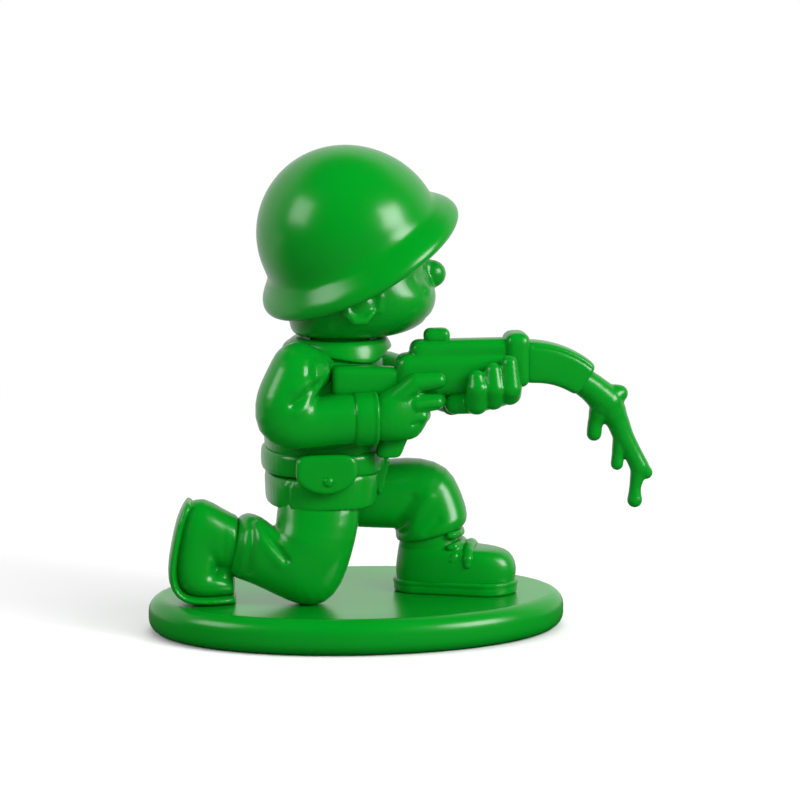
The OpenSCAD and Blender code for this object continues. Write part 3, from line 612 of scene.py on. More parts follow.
@dataclass
class KneelingLeg(Piece):
    """Right leg on its knee, with its boot bent at the ball of the foot."""

    fold: tuple = (-22.3, 29.2)
    y: float = -12.3
    thigh_d: float = 19.2
    half: float = 8.8
    gather: tuple = (-32.8, -7.3)
    gather_d: float = 16.2
    boot_half: float = 6.8
    base_top: float = BASE_TOP
    sole_t: float = 2.4
    hem_z: float = HEM_Z
    toe_out: float = 0.14

    @property
    def corner(self) -> tuple:
        """Inner corner of the boot's instep."""
        return (self.gather[0] - 2.4, self.fold[1] - 11.6)

    def build(self, kit: Kit) -> None:
        """Makes the leg, the boot and its sole."""
        self._trousers(kit)
        self._boot(kit)
        self._sole(kit)

    def _trousers(self, kit: Kit) -> None:
        """Makes the trouser leg, with its folds behind the knee."""
        (fx, fz), y, a = self.fold, self.y, self.half
        drop = fz - self.base_top
        gx, gy = self.gather
        deep, thin = self.thigh_d, self.gather_d / 2
        clay = Clay().loft([
            slice_ring((fx + 2 + deep / 2, y + 1.2, self.hem_z + 2.4), -90, a - 1.8, deep / 2 + 0.6),
            *[fan(self.fold, y + dy, pitch, near, far, a - cut, 1) for dy, pitch, near, far, cut in (
                (0.4, -90, 0.6, deep + 2.3, 0.7), (0, -112, 0.6, deep + 1.8, 0),
                (0, -132, 0.6, drop * 1.14, 0.2), (0, -148, 0.6, drop * 1.2, 0.4),
                (0, -162, 0.6, drop * 1.09, 0.7), (0.8, -180, 0.4, drop * 0.87, 1.2))],
            *[slice_ring((x, gy + dy, fz - dz), pitch, a - cut, thin + grow)
              for x, dy, dz, pitch, cut, grow in (
                  (fx - 4.4, -3, 6.4, -190, 0.8, 0.3), (fx - 7.4, -1.2, 5.8, -190, 0.6, 0.3),
                  (gx + 1.8, 0, 6, -191, 1.2, -0.7), (gx + 0.9, 0, 6.1, -192, 2, -1.5))]])
        near = y - a
        folds = folds_at(
            (fx, near, 0),
            (((-3, 6.2, 30.2), (-1.6, 3.2, 27), (2.2, 1.1, 21.6)), 0.9, -0.85),
            (((-4.6, 6.4, 30.2), (-3.2, 3.4, 26.6), (0.4, 1.4, 21)), 1.3, 0.4),
            (((-5.8, 7.6, 31), (-6, 5.2, 29), (-6.4, 3.7, 25), (-7.4, 4.4, 18)), 1.2, -0.65))
        folds += folds_at((gx, near, 0), (((3, 4, 29), (2.8, 3, 24), (2.4, 3, 18)), 0.8, 0.4))
        kit.cast("right_leg", clay, Detail.MEDIUM, 4, folds)

    def _turned(self, rings: list[Ring]) -> list[Ring]:
        """Turns the foot out a little, so that its sole faces away from the other leg.

        Args:
            rings: The rings of a piece of the boot, which are changed.

        Returns:
            The same rings.
        """
        for ring in rings:
            for p in ring:
                p.x += self.toe_out * (p.y - self.gather[1])
        return rings

    def _boot(self, kit: Kit) -> None:
        """Makes the boot's upper, from its shaft to the bent toe."""
        q, a = self.corner, self.boot_half
        gx, gy = self.gather
        down = q[1] - self.base_top - self.sole_t + 0.4
        clay = Clay().loft(self._turned([
            slice_ring((gx + 2.4, gy, self.fold[1] - 5.4), 180, 6.0, 6.8),
            slice_ring((gx - 1, gy, self.fold[1] - 4.8), 182, 6.2, 7.7),
            *[fan(q, gy, pitch, 0.2, far, a + grow, -1) for pitch, far, grow in (
                (192, 18.8, -0.4), (208, 18.9, -0.2), (232, 13.6, 0.2), (265, 11.7, 0.4), (295, 11.8, 0.4),
                (320, down * 1.42, 0.2), (345, down * 1.1, 0))],
            slice_ring((q[0] + 2, gy, q[1] - down / 2 - 0.5), 360, a - 0.8, down / 2 - 0.4),
            slice_ring((q[0] + 3.8, gy, q[1] - down / 2 - 1.2), 360, a - 2.2, down / 2 - 1.2)]))
        clay.ball((q[0] + 0.4, gy + 0.6, q[1] - 1.6), (3.4, 5.4, 3.6))
        folds = folds_at((gx, gy, 0), (((-1, -7, 30.4), (-2, -6.6, 24), (-2.2, -6.4, 18)), 0.7, -0.5))
        kit.cast("right_boot", clay, Detail.MEDIUM, 5, folds)

    def _sole(self, kit: Kit) -> None:
        """Makes the sole, a strip that follows the bent foot."""
        (qx, qz), a = self.corner, self.boot_half + 0.1
        half = self.sole_t / 2
        floor = self.base_top + half
        line = [(qx + dx, z, cut) for dx, z, cut in (
            (-6.9, qz + 16.8, 2.6), (-7.7, qz + 16, 1.2), (-9.4, qz + 12.6, 0.4), (-10.7, qz + 6.4, 0.2),
            (-11.7, qz + 0.4, 0), (-11, floor + 3.1, 0), (-8.4, floor + 0.5, 0), (-3.8, floor, 0.2),
            (2.6, floor, 1.2), (4.1, floor, 3))]
        rings = []
        for i, (x, z, cut) in enumerate(line):
            before, after = line[max(i - 1, 0)], line[min(i + 1, len(line) - 1)]
            pitch = math.degrees(math.atan2(after[1] - before[1], after[0] - before[0]))
            rings.append(slice_ring((x, self.gather[1], z), pitch, a + 0.3 - cut, half + 0.1, 2.4))
        kit.cast("right_boot_sole", Clay().loft(self._turned(rings)), Detail.MEDIUM, 3)


@dataclass
class RaisedLeg(Piece):
    """Left leg with its foot on the base."""

    bend: tuple = (9.9, 24.4)
    y: float = 4.6
    half: float = 8.6
    reach: float = 20.2
    hip_x: float = -2.1
    depth: float = 16.6
    boot_at: tuple = (9.8, 2.8)
    boot_turn: float = 16.0
    boot_l: float = 31.0
    toe_half: float = 8.0
    heel_half: float = 6.3
    base_top: float = BASE_TOP
    sole_t: float = 3.4
    toe_h: float = 7.9
    shaft: float = 14.9

    def build(self, kit: Kit) -> None:
        """Makes the leg, the boot, its sole and its laces."""
        self._trousers(kit)
        self._boot(kit)
        self._sole(kit)
        self._laces(kit)

    def _frame(self) -> Matrix:
        """Gives the frame of the boot, with its heel at the origin and its toe along X.

        Returns:
            The frame.
        """
        return (Matrix.Translation((*self.boot_at, 0))
                @ Matrix.Rotation(math.radians(-self.boot_turn), 4, "Z"))

    def _trousers(self, kit: Kit) -> None:
        """Makes the trouser leg, from the rounded hip to the gathered end."""
        b, y, a, r = self.bend, self.y, self.half, self.reach
        top, deep = self.depth + 0.4, self.depth / 2
        in_y = y - 3.6
        low = (b[0] + 8.6, b[1] - 1.1)
        clay = Clay().loft([
            *[slice_ring((x, y, b[1] + top / 2 + up), 0, a - cut, deep - slim) for x, up, cut, slim in (
                (self.hip_x - 2.6, 0.8, 3.4, 3.6), (self.hip_x - 1.4, 0.3, 1.2, 1.4),
                (self.hip_x + 0.8, 0, 0, 0.2), (b[0] - 6, 0, 0, 0))],
            *[fan(b, y - dy, pitch, near, far, a, 1) for dy, pitch, near, far in (
                (0.4, 0, -0.2, top + 0.4), (1, -22, 0.1, r * 0.95), (1.6, -42, 0.3, r * 1.025),
                (2.2, -58, 0.3, r * 0.955), (2.8, -70, 0.3, r * 0.93), (3.6, -78, 0.2, r * 0.92))],
            *[slice_ring((low[0] + dx, in_y, low[1] + up), -77.3, a - cut, r * share)
              for dx, up, cut, share in ((0.3, 1, 0.1, 0.455), (0, -0.1, 1, 0.40), (0, 0.6, 2.4, 0.33))]])
        folds = folds_at(
            (b[0], y - a, b[1]),
            (((0.4, 1, 2), (1, -0.6, 5), (3.4, -1.2, 9)), 1.3, -0.55),
            (((3.6, -1, 2), (5, -1.4, 5.6), (7.4, -1.4, 9)), 1.5, 0.45),
            (((7, -2.4, 0.6), (9.6, -2.4, 3.4)), 1.1, -0.4))
        kit.cast("left_leg", clay, Detail.MEDIUM, 4, folds)

    def _boot(self, kit: Kit) -> None:
        """Makes the boot's upper, from the toe cap to the shaft."""
        z, h, a, s = self.base_top + self.sole_t, self.toe_h, self.toe_half, self.shaft
        x1 = self.boot_l - 0.6
        rings = [level(up, low, high, 0, wide, k) for up, low, high, wide, k in (
            (z - 1.2, 0.7, x1, a - 0.9, 2.8), (z + h * 0.22, 0.4, x1 + 0.5, a - 0.6, 2.8),
            (z + h * 0.55, 0.6, x1 + 0.3, a - 0.6, 2.7), (z + h * 0.82, 0.9, x1 - 0.9, a - 0.9, 2.5),
            (z + h * 0.98, 1.1, x1 - 3.2, a - 1.5, 2.4), (z + h * 1.03, 1.2, s + 5.4, a - 2.3, 2.4),
            (z + h * 1.04, 1.3, s + 2.7, 6.0, 2.4), (z + h * 1.12, 1.4, s + 1.5, 6.0, 2.4),
            (z + h + 3, 1.6, s + 1.2, 6.1, SOFT))]
        rings.append(slice_ring((9.0, 0, z + h + 5.4), 102.7, 5.8, 6.8))
        frame = self._frame()
        clay = Clay().loft([[frame @ p for p in ring] for ring in rings])
        kit.cast("left_boot", clay, Detail.MEDIUM, 3)

    def _outline(self, z: float, out: float) -> Ring:
        """Gives the outline of the sole at a height.

        Args:
            z: The height.
            out: How far the outline is grown.

        Returns:
            The points of the outline.
        """
        toe, heel, n = self.toe_half, self.heel_half, 48
        lean = math.asin((toe - heel) / (self.boot_l - heel - toe))
        frame = self._frame()
        ring = []
        for i in range(n):
            t = 2 * math.pi * (i + 0.5) / n - math.pi
            r, c = (toe, self.boot_l - toe) if abs(t) < math.pi / 2 + lean else (heel, heel)
            ring.append(frame @ Vector((c + (r + out) * math.cos(t), (r + out) * math.sin(t), z)))
        return ring

    def _sole(self, kit: Kit) -> None:
        """Makes the sole, with a groove round its edge."""
        z, t = self.base_top, self.sole_t
        clay = Clay().loft([self._outline(z + d * t, out) for d, out in (
            (0, -0.5), (0.12, -0.1), (0.5, 0), (0.6, -0.2), (0.7, 0.15), (0.92, 0.2), (1, -0.3))], 0)
        kit.cast("left_boot_sole", clay, Detail.FINE, 2)

    def _laces(self, kit: Kit) -> None:
        """Makes the lace ridges, each from its near side over the boot to its far side."""
        z = self.base_top + self.sole_t + self.toe_h
        frame = self._frame()
        clay = Clay()
        rows = (
            (1.05, ((14.6, -5.3, 3.6), (15.4, -4.7, 3.6), (16.4, -2.8, 3.7), (16.8, 0, 3.7))),
            (1.15, ((14.8, -5.8, 0.7), (15.8, -5.1, 0.8), (16.8, -3.0, 0.9), (17.2, 0, 0.9))),
            (1.15, ((15.4, -6.6, -2.4), (16.0, -6.2, -1.6), (17.0, -4.6, -0.4), (17.6, 0, 0.2))),
            (1.4, ((19.4, -6.9, -3.4), (19.4, -6.5, -2), (19.3, -5.2, -0.6), (19.2, -3, 0.2),
                   (19.2, 0, 0.6))),
        )
        for r, near in rows:
            far = [(x, -y, up) for x, y, up in reversed(near[:-1])]
            points = [tuple(frame @ Vector((x, y, z + up))) for x, y, up in (*near, *far)]
            clay.path(points, [r * 0.75, *[r] * (len(points) - 2), r * 0.75])
        kit.cast("left_boot_laces", clay, Detail.FINE, 3)


@dataclass
class Jacket(Piece):
    """Skirt, flap, belt and upper body of the jacket, with the waist post inside."""

    y: float = MID_Y
    x: float = -8.9
    depth: float = 29.4
    width: float = 31.4
    hem_z: float = HEM_Z
    belt_z: float = 41.5
    waist_z: float = 47.0
    shoulder_z: float = SHOULDER_Z
    post_r: float = 4.0
    flap_y: float = -5.3

    def _ring(self, z: float, out: float) -> Ring:
        """Gives the outline of the waist at a height.

        Args:
            z: The height.
            out: How far the outline is grown.

        Returns:
            The points of the outline.
        """
        h = self.depth / 2 + out
        return level(z, self.x - h, self.x + h, self.y, self.width / 2 + out, 2.5)

    def build(self, kit: Kit) -> None:
        """Makes the pieces of the jacket."""
        self._skirt(kit)
        belt = [self._ring(z, out) for z, out in (
            (self.belt_z - 0.2, 0.1), (self.belt_z + 0.5, 0.6), (self.waist_z - 0.7, 0.6),
            (self.waist_z, 0.1))]
        kit.cast("belt", Clay().loft(belt), Detail.MEDIUM, 2)
        r = self.post_r
        post = Clay().loft([level(z, self.x - r, self.x + r, self.y, r, 2, 32)
                            for z in (self.belt_z - 4.8, self.waist_z + 4.8)], 0)
        kit.place("waist_post", post.lumps)
        self._body(kit)

    def _skirt(self, kit: Kit) -> None:
        """Makes the skirt with its seam, and the front corner that hangs beside the thigh."""
        back, front = self.x - self.depth / 2 + 0.5, self.x + self.depth / 2 - 1.3
        a = self.width / 2 + 0.3
        clay = Clay().loft([
            *[level(z, back + cut, front - cut, self.y, a + grow, 2.6) for z, cut, grow in (
                (self.hem_z + 0.4, 1.4, -1.2), (self.hem_z - 0.3, 0.5, -0.2), (self.hem_z + 0.5, 0, 0.4),
                (self.belt_z - 2, 0, 0.3))],
            self._ring(self.belt_z + 0.6, 0)])
        folds = folds_at((0, self.y - a, 0),
                         (((-19.4, 2.8, 46), (-19.4, 2.8, 32.6)), 0.6, -0.55),
                         (((-18.4, 2, 46), (-18.4, 2, 32.6)), 0.6, 0.4))
        kit.cast("jacket_skirt", clay, Detail.MEDIUM, 3, folds)
        x, y, top = self.x + self.depth / 2 - 0.6, self.flap_y, self.belt_z + 1.6
        flap = Clay()
        for dx, low in ((-1.2, 3.0), (-0.2, 2.2), (0.8, 3.4), (1.6, 5.6)):
            flap.bar((x + dx, y, top), (x + dx * 0.4, y, self.hem_z + low), 0.9, 0.75)
        kit.cast("jacket_flap", flap, Detail.FINE, 4)

    def _body(self, kit: Kit) -> None:
        """Makes the upper body, with a seam down its front."""
        h = self.shoulder_z - self.waist_z
        x0, x1 = self.x - self.depth / 2, self.x + self.depth / 2
        a, z, y = self.width / 2, self.waist_z, self.y
        clay = Clay().loft([
            self._ring(z - 0.8, -0.5),
            self._ring(z + 0.6, -0.3),
            *[level(z + h * up, x0 + back, x1 + front, y, a - cut, k) for up, back, front, cut, k in (
                (0.2, 0, 0.8, 0.6, 2.5), (0.55, 0.8, 0.8, 1.6, 2.4), (0.78, 2.4, 0.7, 2.2, SOFT),
                (0.93, 4.6, 0.4, 3.4, SOFT), (1.0, 6.4, -0.4, 5, SOFT))]])
        folds = folds_at((x1, y, 0), (((0, 1.2, 68), (1, 1.2, 58), (0.4, 1.2, 47.5)), 0.5, -0.4))
        kit.cast("jacket", clay, Detail.MEDIUM, 4, folds)


@dataclass
class Pouch(Piece):
    """Ammunition pouch with a flap and a snap on the right hip."""

    x: float = -10.4
    back_y: float = -19.3
    low: float = 38.5
    width: float = 14.4
    height: float = 9.2
    depth: float = 2.7

    def _outline(self, y: float, w: float, h: float, low: float) -> Ring:
        """Gives an outline with round lower corners.

        Args:
            y: Place of the outline.
            w: Its width.
            h: Its height.
            low: Its lowest height.

        Returns:
            The points of the outline.
        """
        ring, n = [], 32
        for i in range(n):
            t = 2 * math.pi * i / n
            k = 1.9 if math.sin(t) < 0 else 5.0
            ring.append(Vector((self.x + w / 2 * signed_pow(math.cos(t), 2 / k), y,
                                low + h / 2 + h / 2 * signed_pow(math.sin(t), 2 / k))))
        return ring

    def build(self, kit: Kit) -> None:
        """Makes the pouch, the flap and the snap."""
        w, h, y = self.width, self.height, self.back_y
        box = Clay().loft([self._outline(y + dy, w + dw, h + dw, self.low - dw / 2) for dy, dw in (
            (1.2, 0), (0, 0.2), (-self.depth + 0.6, 0.2), (-self.depth, -0.4))])
        kit.cast("pouch", box, Detail.FINE, 3)
        front = y - self.depth
        flap = Clay().loft([self._outline(front + dy, w + dw, h + dw, self.low - dw / 2 - 0.1)
                            for dy, dw in ((0.8, 0.2), (0.3, 0.8), (-0.6, 0.7), (-1.1, -0.4), (-1.2, -2))])
        kit.cast("pouch_flap", flap, Detail.FINE, 2)
        snap = Clay().ball((self.x + 0.4, front - 1.05, self.low + 2.9), (1.35, 0.95, 1.35))
        kit.cast("pouch_snap", snap, Detail.FINE, 1)


@dataclass
class Head(Piece):
    """Collar, neck, head and helmet."""

    neck: tuple = (-4.5, MID_Y)
    shoulder_z: float = SHOULDER_Z
    chin_z: float = 75.3
    dome: tuple = (-3.5, MID_Y, 100.0)
    tilt: float = 27.0
    lean: float = 9.5
    dome_r: float = 21.6
    wall: float = 1.8
    brim_h: float = 4.5
    brim_push: float = 0.5
    brim_grow: float = 0.03
    brim_rise: float = 0.04
    dome_grow: float = 0.085

    def build(self, kit: Kit) -> None:
        """Makes the pieces of the head."""
        self._collar(kit)
        x, y = self.neck
        post = Clay()
        for r, z0, z1 in ((7.4, self.shoulder_z + 0.3, self.chin_z + 0.6),
                          (3.6, self.shoulder_z - 9.7, self.chin_z + 5)):
            post.loft([level(z, x - r, x + r, y, r, 2, 48) for z in (z0, z1)], 0)
        kit.cast("neck", post, Detail.MEDIUM, 1, body=Body.HEAD)
        self._face(kit)
        self._helmet(kit)

    @staticmethod
    def _hang(side: float) -> float:
        """Gives the height of the collar's lower edge, which hangs down in two points.

        Args:
            side: Angle from the face, in degrees.

        Returns:
            The height.
        """
        edge = ((0, 71.6), (30, 71.2), (44, 69.5), (54, 68.9), (64, 68.9), (80, 69.4), (100, 70.2),
                (130, 71.5), (181, 72.8))
        for (a, low), (b, high) in zip(edge, edge[1:]):
            if side < b:
                return low + (high - low) * (side - a) / (b - a)
        return edge[-1][1]

    def _collar(self, kit: Kit) -> None:
        """Makes the folded collar as a ring whose lower edge hangs down."""
        x, y = self.neck
        top, n = self.shoulder_z + 3.9, 72
        rings = []
        for r, down in ((8.0, 0.6), (8.2, 0.1), (9.4, 0), (10.8, 0), (11.7, 0.12), (12.3, 0.45),
                        (12.9, 0.86), (12.7, 1), (11, 1), (9, 0.9)):
            ring = []
            for i in range(n):
                t = 2 * math.pi * i / n
                side = abs(math.degrees(math.atan2(math.sin(t), math.cos(t))))
                ring.append(Vector((x + r * math.cos(t), y + r * math.sin(t),
                                    top - down * (top - self._hang(side)))))
            rings.append(ring)
        kit.cast("collar", Clay().loft(rings), Detail.FINE, 4)

    def _face(self, kit: Kit) -> None:
        """Makes the head, with its ears, cheeks and nose and a line for the mouth."""
        y, z = self.dome[1], self.chin_z
        x0, x1, a = -22.5, 19.1, 17.6
        rings = [level(z + up, x0 + back, x1 + front, y, a * wide, k, 32) for up, back, front, wide, k in (
            (-0.6, 7.4, -11, 0.52, 2.1), (0.3, 5.9, -6.4, 0.68, 2.1), (2.4, 5.4, -2.8, 0.83, 2.2),
            (5.3, 5.4, -0.6, 0.95, 2.3), (8, 5, 0.2, 1.0, 2.4), (10.5, 4.6, 0.1, 1.01, 2.4),
            (12.8, 3.8, -0.9, 1, 2.3), (14.8, 2.9, -2, 0.99, 2.2), (17, 2, -2.8, 0.98, 2.2),
            (21.4, 1, -3, 0.96, 2.1), (26, 1.2, -3.4, 0.95, 2), (34, 4.4, -7.4, 0.78, 2))]
        clay = Clay().loft(rings)
        folds = folds_at((0, y - 17.2, 0), (((3.2, 0, 86.4), (3.0, 0, 83)), 0.8, 0.4))
        for s in (-1, 1):
            clay.ball((-1.8, y + s * 16.9, 84.0), (3.8, 1.7, 3.8), (0, -30, 0))
            clay.path([(-5.4, y + s * 17.6, 85), (-5, y + s * 18, 82.4), (-3.2, y + s * 18.2, 80.8),
                       (-0.8, y + s * 18.2, 80.8), (1.2, y + s * 18, 82.6)], [0.9, 1.1, 1.25, 1.1, 0.8])
            clay.ball((12.6, y + s * 8.6, 86.2), (4.6, 4.4, 3.2))
            folds += folds_at((0, y, 0), (((13.4, s * 11.4, 90.2), (15.6, s * 7.4, 89.4),
                                           (16.6, s * 4.8, 88.2)), 1.1, -0.4))
        clay.ball((18.3, y, 89.3), (3.7, 3.2, 3.5))
        clay.ball((15.6, y, 90.4), (3.4, 3.4, 3.6))
        folds += folds_at((0, y, 0), (((13.6, -8.6, 80), (17.2, -4, 79), (18, 0, 78.8), (17.2, 4, 79),
                                       (13.6, 8.6, 80)), 0.7, -0.6))
        kit.cast("head", clay, Detail.MEDIUM, 7, folds, Body.HEAD)

    def _helmet(self, kit: Kit) -> None:
        """Makes the helmet by turning its profile, with the front drawn out a little."""
        brim = ((22.0, -2.0), (22.6, -3.0), (23.5, -3.9), (24.3, -4.8), (25.3, -5.8), (26.1, -6.9),
                (26.5, -8.1), (26.3, -9.1), (25.4, -9.8), (24.0, -9.6), (22.2, -8.7), (20.6, -7.0))
        outside, inside = [
            [(r * math.sin(math.radians(d)), r * math.cos(math.radians(d))) for d in angles]
            for r, angles in ((self.dome_r, range(0, 91, 6)), (self.dome_r - self.wall, range(96, -1, -8)))]
        shell = bmesh.new()
        verts = [shell.verts.new((max(x, 0.0), 0, z)) for x, z in (*outside, *brim, *inside)]
        edges = [shell.edges.new(pair) for pair in zip(verts, verts[1:])]
        bmesh.ops.spin(shell, geom=verts + edges, cent=(0, 0, 0), axis=(0, 0, 1), dvec=(0, 0, 0),
                       angle=2 * math.pi, steps=96, use_merge=True, use_duplicate=False)
        bmesh.ops.remove_doubles(shell, verts=shell.verts, dist=0.01)
        for v in shell.verts:
            high = min(max((v.co.z + self.brim_h) / self.brim_h, 0.0), 1.0)
            front = max(v.co.x, 0.0)
            v.co.x += ((self.brim_push + self.brim_grow * front) * (1 - high)
                       + self.dome_grow * high * front * (1 - max(v.co.z, 0.0) / self.dome_r))
            v.co.z += self.brim_rise * (1 - high) * front
        frame = (Matrix.Translation(self.dome) @ Matrix.Rotation(math.radians(self.lean), 4, "X")
                 @ Matrix.Rotation(math.radians(-self.tilt), 4, "Y"))
        bmesh.ops.transform(shell, matrix=frame, verts=shell.verts)
        mesh = evaluated(shell, [("SUBSURF", {"levels": 1, "render_levels": 1})])
        skin = bmesh.new()
        skin.from_mesh(mesh)
        bpy.data.meshes.remove(mesh)
        kit.place("helmet", skin, Body.HEAD)


@dataclass
class RightArm(Piece):
    """Right sleeve, cuff and hand on the pistol grip."""

    face: float = -13.0
    out: float = 6.4
    half: float = 7.2
    fore: float = 6.3
    butt_x: float = BUTT_X
    shoulder_z: float = SHOULDER_Z
    fore_z: float = 56.3
    cuff_x: float = -3.3
    hand_x: float = 1.9
    finger: float = 1.8

    def build(self, kit: Kit) -> None:
        """Makes the arm."""
        self._sleeve(kit)
        fy, f = self.face - self.out - 1, self.fore + 0.2
        start, end = self.cuff_x, self.hand_x
        cuff = Clay().loft([slice_ring((x, fy, self.fore_z + 0.2), 0, r, r) for x, r in (
            (start - 0.6, f - 0.6), (start - 0.1, f + 0.05), (start + 0.6, f + 0.25), (end - 1.1, f + 0.25),
            (end - 0.8, f + 0.1), (end - 0.5, f + 0.5), (end + 0.3, f + 0.5), (end + 0.5, f - 0.4))])
        kit.cast("right_cuff", cuff, Detail.FINE, 2)
        self._hand(kit)

    def _sleeve(self, kit: Kit) -> None:
        """Makes the bent sleeve, with folds inside the elbow and at the shoulder."""
        x, y, half, f = self.butt_x, self.face - self.out, self.half, self.fore
        z = self.shoulder_z
        fy = y - 1
        e = (x - 3.9, self.fore_z + f - 0.3)
        clay = Clay().loft([
            slice_ring((x - 5.4, y + 2.6, z + 2.8), -112, 3.6, 3.8),
            slice_ring((x - 6.4, y + 1.8, z + 1.3), -110, half - 1.2, half - 0.3),
            slice_ring((x - 7.6, y + 0.8, z - 1.3), -104, half - 0.2, half + 0.2),
            slice_ring((x - 10.6, y, z - 6.2), -98, half + 0.1, half + 0.1),
            *[fan(e, at, pitch, 0.2, far, wide, -1) for at, pitch, far, wide in (
                (y - 0.6, -85, half + 8.3, half), (y - 1, -60, half + 10.4, half - 0.2),
                (y - 1.2, -35, f + 9.9, f + 0.4), (fy - 0.2, -12, f + 7.1, f + 0.1))],
            slice_ring((x - 0.5, fy, self.fore_z), 0, f + 0.1, f + 0.1),
            slice_ring((self.cuff_x + 0.6, fy, self.fore_z + 0.2), 0, f, f)])
        clay.bar((x - 1, y + 9.4, z - 3.2), (x - 6.6, y + 2.2, z - 2.2), 4.4, 6.2)
        clay.bar((x - 5, y + 10.4, z - 1.8), (x - 8.2, y + 2.6, z - 2), 4.4, 6.6)
        folds = folds_at(
            (0, y - half, 0),
            (((-12.4, 1.6, 66), (-15, 0, 64), (-19, -0.8, 61.4)), 1.1, -0.9),
            (((-12.4, 1.4, 68), (-15, 0, 66.6), (-18.4, -0.2, 65)), 1.3, 0.45),
            (((-12.2, 1, 63), (-15, -0.6, 61.2), (-18, -1, 59.4)), 1.3, 0.4),
            (((-13.2, 3.4, 72), (-13.4, 1.6, 68.4), (-13, 1.4, 65)), 0.7, 0.5),
            (((-14.8, 2.4, 71.6), (-15, 1, 68.6)), 0.8, -0.45))
        kit.cast("right_sleeve", clay, Detail.MEDIUM, 8, folds)

    def _hand(self, kit: Kit) -> None:
        """Makes the hand, with its first finger along the rifle and three round the grip."""
        f, ry, z = self.finger, RIFLE_Y, RIFLE_LOW
        near = ry - 3.8 - 0.3 - f
        hx, fy, mid = self.hand_x, self.face - self.out - 1, self.fore_z
        clay = Clay().loft([
            slice_ring((hx + dx, fy + dy, mid + up), pitch, a, b) for dx, dy, up, pitch, a, b in (
                (-0.4, 0, 0, 0, 5.4, 5.4), (3, -0.6, 0.8, 6, 5.2, 6.4), (6.4, -0.6, 1.8, 8, 4.4, 7.3),
                (9.4, -0.2, 2.3, 8, 3.6, 7.5), (11.6, 0.3, 3.4, 8, 2.8, 5.6),
                (12.8, 0.6, 3.8, 8, 1.8, 4.2))])
        clay.path([(hx + 4.4, near + 0.6, mid + 4.6), (hx + 9.6, near + 0.2, z + 4.2),
                   (hx + 15.2, near + 0.2, z + 4.7)], [2.8, 2.5, 2.1])
        for tip, low, r in ((17.7, 60.4, 2.05), (13.9, 57.0, 2.0), (10.2, 53.8, 1.95)):
            clay.path([(tip - 6, near + 0.6, low - 0.2), (tip - 1, near + 0.8, low),
                       (tip - 0.2, near + 2.6, low), (tip - 0.4, ry + 1, low), (tip - 4, ry + 4.6, low)],
                      [r + 0.5, r, r, r, r - 0.3])
        clay.bar((hx + 3, ry + 1, z - 3), (hx + 12, ry + 4.6, z - 2), f + 0.4, f)
        folds = folds_at((hx, near, z), (((9, -2.4, 0.6), (12.4, -2, 1.3), (15.4, -1.2, 1.7)), 0.8, -1.2))
        folds += folds_at((hx, near, 0), (((11.6, -1.8, 58.7), (15, -1, 58.6)), 0.5, -0.5),
                          (((8.8, -1.8, 55.3), (12, -1, 55.2)), 0.5, -0.5))
        kit.cast("right_hand", clay, Detail.FINE, 7, folds)


